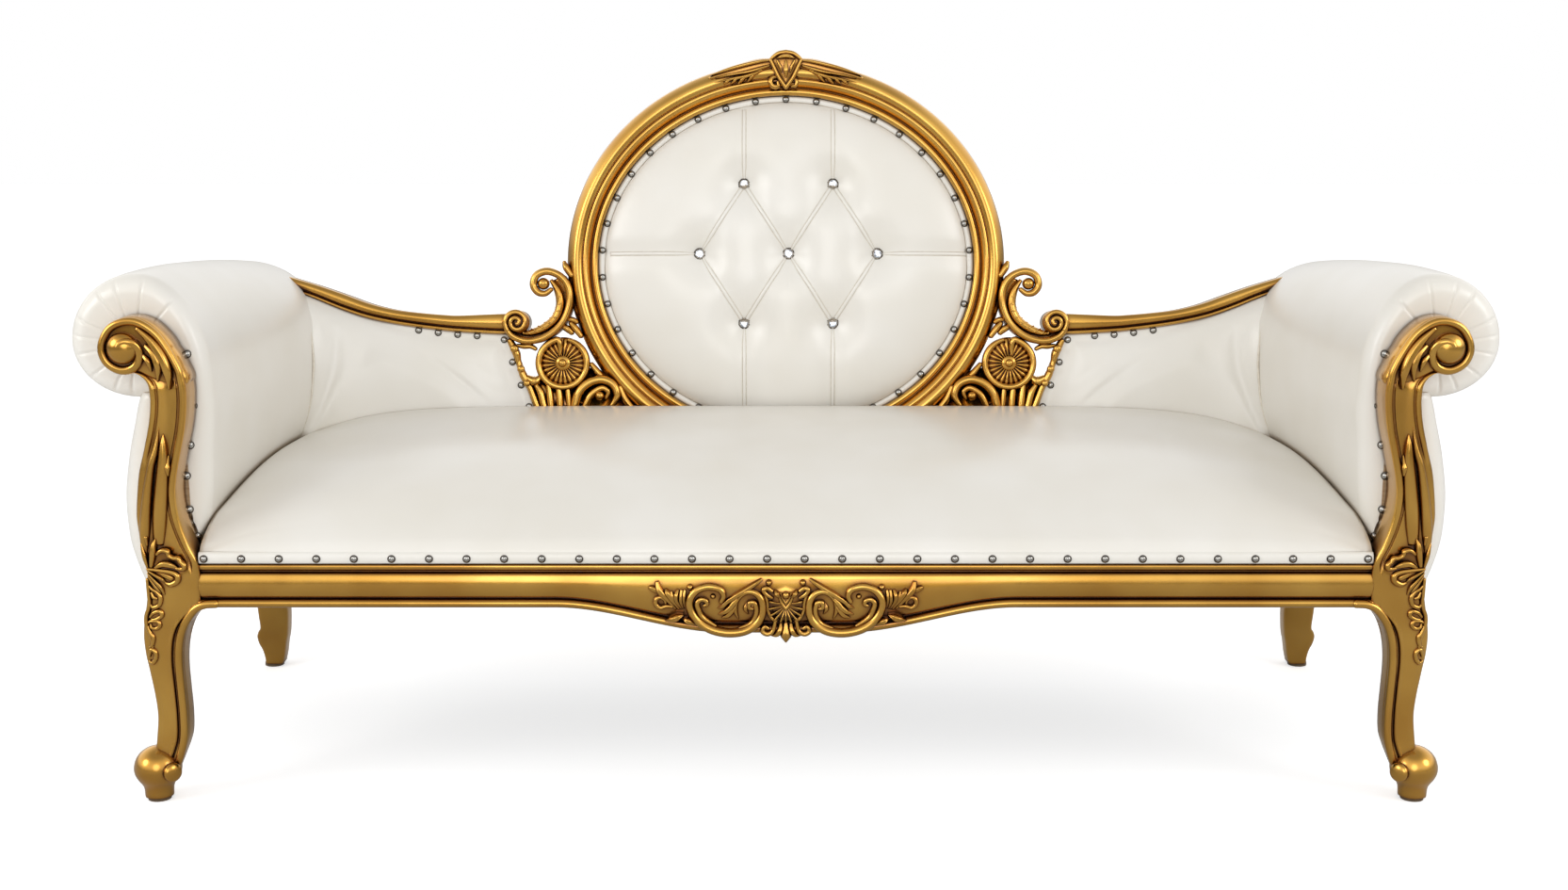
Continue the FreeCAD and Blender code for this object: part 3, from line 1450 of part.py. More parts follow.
def make_knee_carvings():
    """Acanthus leaves planted on the front of each knee, with husks trailing down the leg."""
    y = post_front
    parts = []
    length = d.knee_leaf_length
    top = Vector(d.hip_inset - roll_x - d.hip_width / 4, y, rail_top - d.rail_height / 4)
    for angle in (150, 100, 55, 10):
        aim = math.radians(angle)
        tip = top + Vector(math.cos(aim), 0, math.sin(aim)) * length * 0.62
        if angle < 90:
            parts.append(leaf(top, tip, length / 6, d.carving_relief / 2, d.carving_relief * 0.7))
        else:
            parts.append(leaf(tip, top, length / 6, d.carving_relief / 2, d.carving_relief * 0.7))
    drop = rail_top - d.shin_height - d.rail_height / 4
    husks = 4
    for index in range(husks):
        z = top.z - drop * (index + 0.4) / husks
        size = length / 4 * (1 - 0.14 * index)
        center = Vector(top.x + 1.5 * index, y, z)
        parts.append(Part.makeSphere(size, center))
    leg = doc.getObject("front_leg_left").Shape
    front = block(Vector(-FAR, -FAR, -FAR), Vector(FAR, y + d.carving_relief / 2, FAR))
    carving = parts[0].multiFuse(parts[1:]).common(front).cut(leg)
    proud = [solid for solid in carving.Solids if solid.BoundBox.YMin < y - d.carving_relief / 3]
    left = feature("knee_carving_left", Part.makeCompound(proud))
    mirrored("knee_carving_right", left)


HELPERS = {"apron_body", "front_rail_tenon", "rear_rail_board", "rear_rail_tenon"}


def sub_parts():
    """Every piece that is a sub-part in its own right, not a step of another one."""
    found = []
    for item in doc.Objects:
        if not hasattr(item, "Shape") or item.Label in HELPERS:
            continue
        if item.TypeId.startswith(("PartDesign", "Sketcher", "App::")) and item.TypeId != "PartDesign::Body":
            continue
        found.append(item)
    return found


def write_parts():
    """Checks every object and writes each sub-part to its own file."""
    doc.recompute()
    bad = [item.Label for item in doc.Objects if "Invalid" in item.State or "Error" in item.State]
    pieces = sub_parts()
    bad += [piece.Label for piece in pieces if piece.Shape.isNull() or not piece.Shape.isValid()]
    bad += [piece.Label for piece in pieces if not piece.Shape.Solids]
    if bad:
        raise RuntimeError(f"these pieces did not build: {sorted(set(bad))}")
    os.makedirs(OUT_FOLDER, exist_ok=True)
    for piece in pieces:
        piece.Shape.exportStep(os.path.join(OUT_FOLDER, f"{piece.Label}.step"))
    print(f"{len(pieces)} sub-parts written")


make_front_legs()
make_rear_legs()
make_front_rail()
make_plain_rails()
make_braces()
make_corner_blocks()
make_glides()
make_springs()
make_seat()
make_arms()
make_medallion()
make_wings()
make_spandrels()
make_crest()
make_apron_carving()
make_knee_carvings()
write_parts()
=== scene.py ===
import json
import math

import bmesh
import bpy
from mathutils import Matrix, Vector
from mathutils.kdtree import KDTree


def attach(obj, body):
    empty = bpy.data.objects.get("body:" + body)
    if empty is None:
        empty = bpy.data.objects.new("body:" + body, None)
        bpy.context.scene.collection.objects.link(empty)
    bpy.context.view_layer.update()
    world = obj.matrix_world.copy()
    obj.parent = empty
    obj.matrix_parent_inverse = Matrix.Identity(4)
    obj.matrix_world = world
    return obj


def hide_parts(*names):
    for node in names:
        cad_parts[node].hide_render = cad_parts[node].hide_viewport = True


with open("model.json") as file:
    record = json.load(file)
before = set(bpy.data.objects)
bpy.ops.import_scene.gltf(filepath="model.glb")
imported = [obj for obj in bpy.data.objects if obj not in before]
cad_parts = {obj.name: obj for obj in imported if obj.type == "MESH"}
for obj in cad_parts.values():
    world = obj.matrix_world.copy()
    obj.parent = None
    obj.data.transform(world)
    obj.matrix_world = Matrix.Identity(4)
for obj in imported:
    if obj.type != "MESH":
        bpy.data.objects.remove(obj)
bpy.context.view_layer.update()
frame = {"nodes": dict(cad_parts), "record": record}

# The looks of a carved gilt settee: mouldings, carving, tufted leather, nails and cut-glass buttons.
# Shapes are drawn in millimetres. "Side" is the distance from the settee's middle, so a left-hand
# piece lies at X = -side, and each right-hand piece is the mirror image of its left-hand twin.

MM = 0.001
SIDES = ("left", "right")

# Places shared with the CAD model
RAIL_TOP = 319.0
POST_FRONT = -308.0
POST_BACK = -258.0
RAIL_FRONT = -302.0
RAIL_END = 763.0
BACK_Y = 221.8
BACK_LEAN = math.radians(8)
ROLL_SIDE = 840.0
ROLL_HEIGHT = 601.0
RING_MIDDLE = 652.0
RING_OUTER = (337.0, 310.0)
RING_INNER = (289.5, 257.0)
REAR_RAIL_TOP = 350.0


# Curves

def curved(t, a, b, c, d):
    """The value at share t of the way from b to c, on a smooth curve through four values."""
    return 0.5 * (2 * b + (c - a) * t + (2 * a - 5 * b + 4 * c - d) * t**2 + (3 * b - a - 3 * c + d) * t**3)


def smooth(points, steps):
    """Points on a smooth curve through the given ones, which may have any number of values."""
    last = len(points) - 1
    rows = []
    for index in range(last):
        before = points[max(index - 1, 0)]
        after = points[min(index + 2, last)]
        spans = list(zip(before, points[index], points[index + 1], after))
        for step in range(steps):
            rows.append(tuple(curved(step / steps, *span) for span in spans))
    rows.append(tuple(points[last]))
    return rows


def along(table, t):
    """A smooth value at t, from pairs of t and value in rising order."""
    if t <= table[0][0]:
        return table[0][1]
    if t >= table[-1][0]:
        return table[-1][1]
    index = max(k for k in range(len(table) - 1) if table[k][0] <= t)

    def slope(k):
        low = max(k - 1, 0)
        high = min(k + 1, len(table) - 1)
        return (table[high][1] - table[low][1]) / (table[high][0] - table[low][0])

    (t0, v0), (t1, v1) = table[index], table[index + 1]
    span = t1 - t0
    u = (t - t0) / span
    h = u * u * (3 - 2 * u)
    return v0 + (v1 - v0) * h + span * u * (1 - u) * (slope(index) * (1 - u) - slope(index + 1) * u)


def ease(low, high, t):
    """0 below low, 1 above high and a soft step between them."""
    u = min(max((t - low) / (high - low), 0.0), 1.0)
    return u * u * (3 - 2 * u)


def heading(rows, index):
    """The unit direction, as (across, up), of a path of (side, z, ...) rows at one of them."""
    ahead = rows[min(index + 1, len(rows) - 1)]
    behind = rows[max(index - 1, 0)]
    across, up = ahead[0] - behind[0], ahead[1] - behind[1]
    length = math.hypot(across, up) or 1.0
    return across / length, up / length


def leaned(point):
    """A point of the upright back, after the back leans."""
    x, y, z = point
    rise = z - RAIL_TOP
    return (
        x,
        BACK_Y + y * math.cos(BACK_LEAN) + rise * math.sin(BACK_LEAN),
        RAIL_TOP - y * math.sin(BACK_LEAN) + rise * math.cos(BACK_LEAN),
    )


# Shapes

# The smallest radius of a tube and half width of a leaf, and the shares at which a tube's ends are rounded
LEAST_RADIUS = 0.02
LEAST_HALF = 0.05
END_SHARES = (0.0, 0.5, 0.85)
VEIN_WIDTH = 0.22
LEAF_ROOT = 2.0


class Shape:
    """Points and faces of one piece, in millimetres."""

    def __init__(self):
        self.points = []
        self.faces = []

    def grid(self, rows, around=False, ring=False, caps=False):
        """Faces between rows of points; around joins each row's ends, ring joins the first and last row."""
        base = len(self.points)
        width = len(rows[0])
        for row in rows:
            self.points.extend(row)
        for i in range(len(rows) if ring else len(rows) - 1):
            for j in range(width if around else width - 1):
                near = base + i * width
                far = base + (i + 1) % len(rows) * width
                k = (j + 1) % width
                self.faces.append((near + j, near + k, far + k, far + j))
        if caps:
            self.faces.append(tuple(range(base, base + width)))
            start = base + (len(rows) - 1) * width
            self.faces.append(tuple(range(start, start + width)))

    def lean(self):
        """The same shape, leaned with the back."""
        self.points = [leaned(point) for point in self.points]
        return self

    def twin(self):
        """Adds the mirror image of all that the shape holds so far."""
        count = len(self.points)
        self.faces += [tuple(index + count for index in face) for face in self.faces]
        self.points += [(-x, y, z) for x, y, z in self.points]

    def tube(self, rows, steps=6, sides=12, flat=1.0, level=0.0, lift=None):
        """A round bar along rows of (side, z, radius) at a depth, with round ends."""
        rows = smooth(rows, steps)
        lifts = smooth([(rise,) for rise in lift], steps) if lift else [(0.0,)] * len(rows)
        loops = []
        for index, (side, z, radius) in enumerate(rows):
            loops.append((side, z, *heading(rows, index), radius, level - lifts[index][0]))
        rings = [self.tube_ring(loops[0], share, -1, sides, flat) for share in END_SHARES]
        rings += [self.tube_ring(loop, 1.0, 0, sides, flat) for loop in loops]
        rings += [self.tube_ring(loops[-1], share, 1, sides, flat) for share in reversed(END_SHARES)]
        self.grid(rings, around=True, caps=True)

    @staticmethod
    def tube_ring(loop, share, end, sides, flat):
        """One ring of a tube; at an end, -1 or 1, a share under 1 shrinks it and pushes it out."""
        side, z, across, up, radius, y = loop
        reach = max(radius * math.sqrt(1 - (1 - share) ** 2), LEAST_RADIUS)
        push = end * (1 - share)
        ring = []
        for k in range(sides):
            angle = 2 * math.pi * k / sides
            out = reach * math.cos(angle)
            ring.append((
                -(side + across * radius * push - up * out),
                y - reach * flat * math.sin(angle),
                z + up * radius * push + across * out,
            ))
        return ring

    def leaf(self, rows, level, steps=8, vein=0.3):
        """A carved leaf along rows of (side, z, half width, height), with a vein sunk along its middle."""
        spots = smooth(rows, steps)
        shares = [math.sin(math.pi / 2 * k / 6) for k in range(-6, 7)]
        heights = [
            math.sqrt(1 - share**2) - vein * math.exp(-((share / VEIN_WIDTH) ** 2))
            for share in shares
        ]
        loops = []
        for index, (side, z, half, height) in enumerate(spots):
            across, up = heading(spots, index)
            section = [(share, -height * rise) for share, rise in zip(shares, heights)]
            section += [(share, LEAF_ROOT) for share in (0.8, 0.0, -0.8)]
            loop = []
            for share, depth in section:
                out = max(half, LEAST_HALF) * share
                loop.append((-(side - up * out), level + depth, z + across * out))
            loops.append(loop)
        self.grid(loops, around=True, caps=True)

    def dome(self, middle, facing, radius, height, rings=6, sides=20, rim=0.0):
        """A round boss on a seat point, with an upright rim under its dome."""
        normal = Vector(facing).normalized()
        across = normal.orthogonal().normalized()
        up = normal.cross(across)
        seat = Vector(middle)
        levels = [(radius, -0.3 * height), (radius, rim)] if rim else [(radius, -0.3 * height)]
        for step in range(rings):
            angle = math.pi / 2 * step / rings
            levels.append((radius * math.cos(angle), rim + height * math.sin(angle)))
        levels.append((0.02 * radius, rim + height))
        loops = []
        for reach, rise in levels:
            loop = []
            for k in range(sides):
                angle = 2 * math.pi * k / sides
                spot = seat + normal * rise + (across * math.cos(angle) + up * math.sin(angle)) * reach
                loop.append(tuple(spot))
            loops.append(loop)
        self.grid(loops, around=True, caps=True)

    def lathe(self, profile, side, y, sides=40):
        """A turned form about an upright axis, from pairs of radius and height."""
        loops = []
        for radius, z in profile:
            loop = []
            for k in range(sides):
                angle = 2 * math.pi * k / sides
                loop.append((-side + radius * math.cos(angle), y + radius * math.sin(angle), z))
            loops.append(loop)
        self.grid(loops, around=True, caps=True)


def build(name, shape, material, mirror=False, smooth_faces=True):
    """A Blender object from a shape, riding on the settee's one body."""
    turn = -1 if mirror else 1
    mesh = bpy.data.meshes.new(name)
    mesh.from_pydata([(turn * x * MM, y * MM, z * MM) for x, y, z in shape.points], [], shape.faces)
    work = bmesh.new()
    work.from_mesh(mesh)
    bmesh.ops.remove_doubles(work, verts=work.verts, dist=1e-6)
    bmesh.ops.recalc_face_normals(work, faces=work.faces)
    work.to_mesh(mesh)
    work.free()
    mesh.polygons.foreach_set("use_smooth", [smooth_faces] * len(mesh.polygons))
    mesh.materials.append(material)
    piece = bpy.data.objects.new(name, mesh)
    bpy.context.collection.objects.link(piece)
    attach(piece, "root")
    return piece


def build_pair(name, shape, material, nodes, smooth_faces=True):
    """A left-hand piece and its mirrored twin, which stand for the CAD nodes of each side."""
    pieces = []
    for hand in SIDES:
        piece = build(f"{name}_{hand}", shape, material, hand == "right", smooth_faces)
        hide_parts(*[f"{node}_{hand}" for node in nodes])
        pieces.append(piece)
    return pieces


def panel(shape, rows, under):
    """A grid closed by straight walls and a flat face; under gives the flat point of a rim point."""
    shape.grid(rows)
    rim = rows[0] + [row[-1] for row in rows[1:-1]] + rows[-1][::-1] + [row[0] for row in rows[-2:0:-1]]
    flat = [under(point) for point in rim]
    shape.grid([rim, flat], around=True)
    base = len(shape.points)
    shape.points += flat
    shape.faces.append(tuple(range(base, base + len(flat))))


def patch(left, right, low, top, across, up):
    """Rows of (side, z) that fill the space between two edges, a level base line and an upper edge.

    left and right give an edge's distance from the middle at a height, and top gives the upper edge's
    height at a distance."""
    ends = []
    for edge in (left, right):
        z = 500.0
        for _ in range(40):
            z += 0.5 * (top(edge(z)) - z)
        ends.append((edge(z), z))
    starts = ((left(low), low), (right(low), low))
    rows = []
    for i in range(across + 1):
        t = i / across
        base = (starts[0][0] * (1 - t) + starts[1][0] * t, low)
        side = ends[0][0] * (1 - t) + ends[1][0] * t
        over = (side, top(side))
        row = []
        for j in range(up + 1):
            v = j / up
            heights = [low + (end[1] - low) * v for end in ends]
            near = (left(heights[0]), heights[0])
            far = (right(heights[1]), heights[1])
            place = []
            for axis in (0, 1):
                value = (1 - v) * base[axis] + v * over[axis] + (1 - t) * near[axis] + t * far[axis]
                value -= (1 - v) * ((1 - t) * starts[0][axis] + t * starts[1][axis])
                value -= v * ((1 - t) * ends[0][axis] + t * ends[1][axis])
                place.append(value)
            row.append(tuple(place))
        rows.append(row)
    return rows


# Sizes of a nailhead and of the rim under it, a dark ring of painted shade
NAIL_RADIUS = 4.0
NAIL_HEIGHT = 2.6
NAIL_LIFT = 1.1
RIM_RADIUS = 5.3
RIM_WALL = 0.9
RIM_HEIGHT = 0.5


def nail_heads(spots):
    """Domed nailheads and their dark rims of painted shade, as two shapes, from pairs of place and facing.
    """
    nails = Shape()
    rims = Shape()
    for place, facing in spots:
        # A dark ring of painted shade round the foot of each nailhead.
        rims.dome(place, facing, RIM_RADIUS, RIM_HEIGHT, rings=3, sides=18, rim=RIM_WALL)
        normal = Vector(facing).normalized()
        seat = tuple(Vector(place) + normal * NAIL_LIFT)
        nails.dome(seat, facing, NAIL_RADIUS, NAIL_HEIGHT, rings=5, sides=16)
    return nails, rims


# Leather that swells over its padding

# Cloth that swells: its frames, how far leather is drawn in first as a share of its give, over how many mm
# that fades in, and the cloth's settings
PUFF_FRAMES = 20
PUFF_DRAW = 0.8
PUFF_FADE = 45
CLOTH_SETTINGS = {
    "quality": 5,
    "mass": 0.3,
    "tension_stiffness": 20.0,
    "compression_stiffness": 20.0,
    "shear_stiffness": 10.0,
    "bending_stiffness": 2.0,
    "use_pressure": True,
    "uniform_pressure_force": 4.0,
    "vertex_group_mass": "held",
}

# How far, in mm, the wings' and the seat's leather may move as it swells
WING_GIVE = 5.0
SEAT_GIVE = 7.0


def draw_in(piece, fixed, cap):
    """Draws a padded piece in, away from its fixed points, and returns its points' places."""
    mesh = piece.data
    places = [vertex.co.copy() for vertex in mesh.vertices]
    normals = [vertex.normal.copy() for vertex in mesh.vertices]
    tree = KDTree(len(fixed))
    for index in fixed:
        tree.insert(places[index], index)
    tree.balance()
    starts = []
    for place, normal in zip(places, normals):
        gap = tree.find(place)[2] / MM
        starts.append(place - normal * (PUFF_DRAW * cap * MM * ease(0, PUFF_FADE, gap)))
    mesh.vertices.foreach_set("co", [value for start in starts for value in start])
    mesh.update()
    return starts


def puff(piece, held, cap):
    """Lets a padded piece swell as cloth: it is drawn in, blown up under slight pressure and kept so.

    held says whether a place is sewn or tacked and stays where it is. No point ends farther than the
    cap, in millimetres, from where the drawn-in leather had it."""
    mesh = piece.data
    fixed = [index for index, vertex in enumerate(mesh.vertices) if held(vertex.co / MM)]
    starts = draw_in(piece, fixed, cap)
    group = piece.vertex_groups.new(name="held")
    group.add(fixed, 1.0, "REPLACE")
    cloth = piece.modifiers.new("cloth", "CLOTH")
    for key, value in CLOTH_SETTINGS.items():
        setattr(cloth.settings, key, value)
    cloth.settings.effector_weights.gravity = 0.0
    cloth.collision_settings.use_collision = False
    cloth.point_cache.frame_start = 1
    cloth.point_cache.frame_end = PUFF_FRAMES
    scene = bpy.context.scene
    for number in range(1, PUFF_FRAMES + 1):
        scene.frame_set(number)
    swollen = piece.evaluated_get(bpy.context.evaluated_depsgraph_get()).to_mesh()
    ends = []
    for start, vertex in zip(starts, swollen.vertices):
        step = vertex.co - start
        if step.length > cap * MM:
            step *= cap * MM / step.length
        ends.append(start + step)
    piece.modifiers.remove(cloth)
    piece.vertex_groups.remove(group)
    mesh.vertices.foreach_set("co", [value for end in ends for value in end])
    mesh.update()
    scene.frame_set(1)


# Materials

def set_stops(node, stops):
    """Sets a colour ramp's stops, from pairs of position and colour or grey."""
    band = node.color_ramp
    while len(band.elements) < len(stops):
        band.elements.new(0.5)
    for element, (position, color) in zip(band.elements, stops):
        element.position = position
        element.color = (*color, 1.0) if isinstance(color, tuple) else (color, color, color, 1.0)


class Nodes:
    """A short way to write a material's node tree."""

    def __init__(self, name):
        self.material = bpy.data.materials.new(name)
        self.material.use_nodes = True
        self.tree = self.material.node_tree
        self.shader = self.tree.nodes["Principled BSDF"]
        self.place = self.add("ShaderNodeTexCoord").outputs["Object"]

    def add(self, kind, **settings):
        node = self.tree.nodes.new(kind)
        for key, value in settings.items():
            if key in node.inputs:
                node.inputs[key].default_value = value
            else:
                setattr(node, key, value)
        return node

    def put(self, socket, value):
        """Sets one of the shader's own values."""
        self.shader.inputs[socket].default_value = value

    def link(self, source, target):
        self.tree.links.new(source, target)

    def noise(self, scale, detail=3.0, stretch=None):
        """Soft noise in metres, drawn out along an axis if stretch is given."""
        node = self.add("ShaderNodeTexNoise", Scale=scale, Detail=detail)
        place = self.place
        if stretch:
            mapping = self.add("ShaderNodeMapping")
            mapping.inputs["Scale"].default_value = stretch
            self.link(place, mapping.inputs["Vector"])
            place = mapping.outputs["Vector"]
        self.link(place, node.inputs["Vector"])
        return node.outputs["Fac"]

    def ramp(self, source, stops):
        node = self.add("ShaderNodeValToRGB")
        set_stops(node, stops)
        self.link(source, node.inputs["Fac"])
        return node.outputs["Color"]

    def clouded(self, scale, detail, first, second, low=0.3, high=0.7):
        """Two colours or greys that blend over soft noise, between two of its levels."""
        return self.ramp(self.noise(scale, detail), [(low, first), (high, second)])

    def mix(self, factor, first, second, blend="MIX"):
        node = self.add("ShaderNodeMix", data_type="RGBA", blend_type=blend)
        for socket, value in (
            (node.inputs["Factor"], factor), (node.inputs[6], first), (node.inputs[7], second),
        ):
            if isinstance(value, bpy.types.NodeSocket):
                self.link(value, socket)
            elif isinstance(value, tuple):
                socket.default_value = (*value, 1.0)
            else:
                socket.default_value = value
        return node.outputs[2]

    def hollow(self, distance):
        """How open the surface is: 1 in the open and lower in recesses."""
        node = self.add("ShaderNodeAmbientOcclusion", samples=16)
        node.inputs["Distance"].default_value = distance
        return node.outputs["AO"]

    def bump(self, height, strength, distance):
        node = self.add("ShaderNodeBump", Strength=strength, Distance=distance)
        self.link(height, node.inputs["Height"])
        self.link(node.outputs["Normal"], self.shader.inputs["Normal"])

    def color(self, source):
        self.link(source, self.shader.inputs["Base Color"])

    def rough(self, source):
        self.link(source, self.shader.inputs["Roughness"])


# Colours of the gold, from its recesses, darkened by patina and painted shade, to its rubbed parts, and of
# the leather
GOLD_DARK = (0.12, 0.065, 0.012)
GOLD_DEEP = (0.52, 0.39, 0.24)
GOLD_MID = (0.46, 0.225, 0.024)
GOLD_BRIGHT = (0.60, 0.335, 0.055)
IVORY = (0.815, 0.79, 0.735)
IVORY_WARM = (0.775, 0.743, 0.672)
WHITE = (1.0, 1.0, 1.0)


def gilt_material(name, recess, spread):
    """Antique gold: satin metal under a clear lacquer, darkened in its recesses by patina and painted
    shade.

    recess is how far off, in metres, a neighbour still shades the surface, and spread is how far the patina
    and painted shade run out."""
    nodes = Nodes(name)
    nodes.put("Metallic", 1.0)
    nodes.put("Coat Weight", 0.45)
    nodes.put("Coat Roughness", 0.10)
    nodes.put("Coat IOR", 1.65)
    brushed = nodes.clouded(11.0, 2.0, GOLD_MID, GOLD_BRIGHT, 0.3, 0.75)
    stops = [(0.30 * spread, GOLD_DARK), (0.62 * spread, GOLD_DEEP), (0.92 * spread, WHITE)]
    # Patina and painted shade: ambient occlusion darkens the gold in recesses and between parts, where
    # shade falls.
    patina_and_painted_shade = nodes.ramp(nodes.hollow(recess), stops)
    nodes.color(nodes.mix(1.0, brushed, patina_and_painted_shade, "MULTIPLY"))
    nodes.rough(nodes.clouded(40.0, 2.0, 0.20, 0.26))
    return nodes.material


def leather_material():
    """Ivory leather with a fine pebbled grain, a soft satin gloss and painted shade darkening its creases.
    """
    nodes = Nodes("ivory_leather")
    tone = nodes.clouded(7.0, 2.0, IVORY_WARM, IVORY)
    # Painted shade: the leather is darkened in creases and where parts meet, where shade falls.
    crease = nodes.ramp(nodes.hollow(0.010), [(0.15, (0.55, 0.46, 0.36)), (0.65, WHITE)])
    nodes.color(nodes.mix(1.0, tone, crease, "MULTIPLY"))
    nodes.rough(nodes.clouded(12.0, 1.0, 0.28, 0.31))
    nodes.put("Specular IOR Level", 0.55)
    cells = nodes.add("ShaderNodeTexVoronoi", Scale=650.0, feature="DISTANCE_TO_EDGE")
    nodes.link(nodes.place, cells.inputs["Vector"])
    pebble = nodes.ramp(cells.outputs["Distance"], [(0.0, 0.0), (0.35, 1.0)])
    nodes.bump(pebble, 0.05, 0.0003)
    return nodes.material


def seam_material():
    """The folded edge of the same leather, a little darker where it is sewn."""
    nodes = Nodes("leather_seam")
    nodes.color(nodes.clouded(180.0, 2.0, (0.66, 0.60, 0.50), (0.76, 0.71, 0.62)))
    nodes.put("Roughness", 0.45)
    nodes.bump(nodes.noise(900.0, 2.0), 0.1, 0.0002)
    return nodes.material


def nail_material():
    """Polished steel of the nailheads, clouded by handling."""
    nodes = Nodes("polished_nail")
    nodes.put("Metallic", 1.0)
    nodes.color(nodes.clouded(400.0, 2.0, (0.30, 0.29, 0.27), (0.46, 0.45, 0.42)))
    nodes.rough(nodes.clouded(300.0, 2.0, 0.10, 0.20))
    return nodes.material


def rim_material():
    """Dark metal, which stands for painted shade in the ring round the foot of each nailhead and also
    colours the stone settings.
    """
    nodes = Nodes("nail_shade_and_setting_metal")
    nodes.put("Metallic", 1.0)
    nodes.color(nodes.clouded(500.0, 2.0, (0.035, 0.03, 0.025), (0.10, 0.09, 0.08)))
    nodes.rough(nodes.clouded(300.0, 2.0, 0.3, 0.5))
    return nodes.material


def crystal_material():
    """Cut glass with a faint tint."""
    nodes = Nodes("cut_glass")
    nodes.put("Transmission Weight", 1.0)
    nodes.put("IOR", 1.5)
    nodes.color(nodes.clouded(40.0, 1.0, (0.93, 0.95, 0.97), (0.99, 0.99, 1.0), 0.4, 0.6))
    nodes.rough(nodes.clouded(500.0, 1.0, 0.0, 0.02, 0.4, 0.6))
    return nodes.material


def foil_material():
    """Foil under each stone, with painted reflections: dark and bright patches that stand for what the cut
    facets show.
    """
    nodes = Nodes("stone_foil")
    nodes.put("Metallic", 1.0)
    # Painted reflections: noise patches of dark and bright foil.
    nodes.color(nodes.clouded(300.0, 2.0, (0.22, 0.23, 0.25), (0.95, 0.96, 0.98), 0.42, 0.58))
    nodes.rough(nodes.clouded(500.0, 2.0, 0.1, 0.25))
    return nodes.material


def grained_material(name, dark, light, roughness, stretch, scale, metallic=0.0):
    """A plain hidden material with its own grain."""
    nodes = Nodes(name)
    nodes.put("Metallic", metallic)
    nodes.put("Roughness", roughness)
    grain = nodes.noise(scale, 4.0, stretch)
    nodes.color(nodes.ramp(grain, [(0.3, dark), (0.7, light)]))
    nodes.bump(grain, 0.15, 0.0005)
    return nodes.material


def woven_material(name, dark, light, pitch):
    """Cloth woven from crossing threads."""
    nodes = Nodes(name)
    nodes.put("Roughness", 0.9)
    warp = nodes.add("ShaderNodeTexWave", Scale=pitch, bands_direction="X")
    weft = nodes.add("ShaderNodeTexWave", Scale=pitch, bands_direction="Y")
    nodes.link(nodes.place, warp.inputs["Vector"])
    nodes.link(nodes.place, weft.inputs["Vector"])
    weave = nodes.mix(0.5, warp.outputs["Color"], weft.outputs["Color"])
    nodes.color(nodes.ramp(weave, [(0.2, dark), (0.8, light)]))
    nodes.bump(weave, 0.3, 0.0006)
    return nodes.material


# Three gilts that differ in how far their patina and painted shade reach out of the recesses.
GILT = gilt_material("gilt", 0.012, 1.0)
GILT_BOLD = gilt_material("gilt_bold", 0.040, 1.0)
GILT_FINE = gilt_material("gilt_fine", 0.007, 0.8)
LEATHER = leather_material()
SEAM = seam_material()
NAIL = nail_material()
RIM = rim_material()
FOIL = foil_material()
CRYSTAL = crystal_material()
EVEN = (1.0, 1.0, 1.0)
WOOD = grained_material("sawn_wood", (0.30, 0.19, 0.10), (0.48, 0.33, 0.19), 0.7, (6.0, 60.0, 60.0), 6.0)
STEEL = grained_material("spring_steel", (0.30, 0.30, 0.31), (0.46, 0.46, 0.47), 0.35, EVEN, 200.0, 1.0)
FOAM = grained_material("foam", (0.80, 0.74, 0.55), (0.86, 0.82, 0.66), 0.95, EVEN, 700.0)
NYLON = grained_material("nylon", (0.10, 0.065, 0.03), (0.14, 0.09, 0.045), 0.45, EVEN, 150.0)
BURLAP = woven_material("burlap", (0.30, 0.20, 0.10), (0.52, 0.38, 0.22), 250.0)
DUST_CLOTH = woven_material("dust_cloth", (0.008, 0.008, 0.008), (0.022, 0.022, 0.022), 500.0)
SLOT_MATERIALS = {
    "gilt": GILT,
    "leather": LEATHER,
    "frame_wood": WOOD,
    "nailheads": NAIL,
    "spring_steel": STEEL,
    "crystal": CRYSTAL,
    "foam": FOAM,
    "burlap": BURLAP,
    "dust_cloth": DUST_CLOTH,
    "glides": NYLON,
}


def dress_cad_nodes():
    """Gives every CAD node the material of its slot, for the ones that keep their own shape."""
    for entry in frame["record"]["subparts"]:
        node = frame["nodes"][entry["node"]]
        node.data.materials.clear()
        node.data.materials.append(SLOT_MATERIALS[entry["material_slot"]])


# Legs: ball foot, cabriole leg, arm post and scroll in front, raked legs behind

# The post's inner and outer edges, as (height, distance from the middle), and its face and rear, as
# (height, depth)
POST_INNER = [
    (10, 824), (25, 812), (40, 803), (57, 796), (72, 790.5), (86, 787), (115, 786.5), (144, 788),
    (187, 790), (215, 787.5), (235, 781), (251, 770), (262, 763), (290, 761.5), (321, 761.5), (344, 771),
    (368, 779), (391, 784), (415, 785), (438, 782), (469, 775), (499, 768), (530, 764), (554, 764),
    (578, 769),
]
POST_OUTER = [
    (10, 846), (40, 842), (57, 836), (72, 830), (86, 828), (115, 826), (144, 829), (165, 832.5),
    (181, 835), (196, 837.5), (219, 839), (238, 837.5), (263, 833), (290, 829), (314, 830), (340, 835),
    (370, 838.5), (384, 839), (415, 836), (445, 831), (476, 821), (507, 813.5), (530, 810.5), (545, 810.5),
    (553, 811.5), (560, 815), (566, 821.5), (570, 829), (573, 838),
]
POST_FACE = [(10, -314), (57, -317), (86, -314), (130, -310), (165, POST_FRONT)]
POST_REAR = [(10, -300), (57, -288), (95, -277), (165, -272), (200, -266), (233, POST_BACK)]

# Radius of the post's bead, and the middle of the arm scroll as (side, z)
BEAD = 5.0
SCROLL = (840.0, 600.0)
POST_LEVELS = range(12, 573, 4)


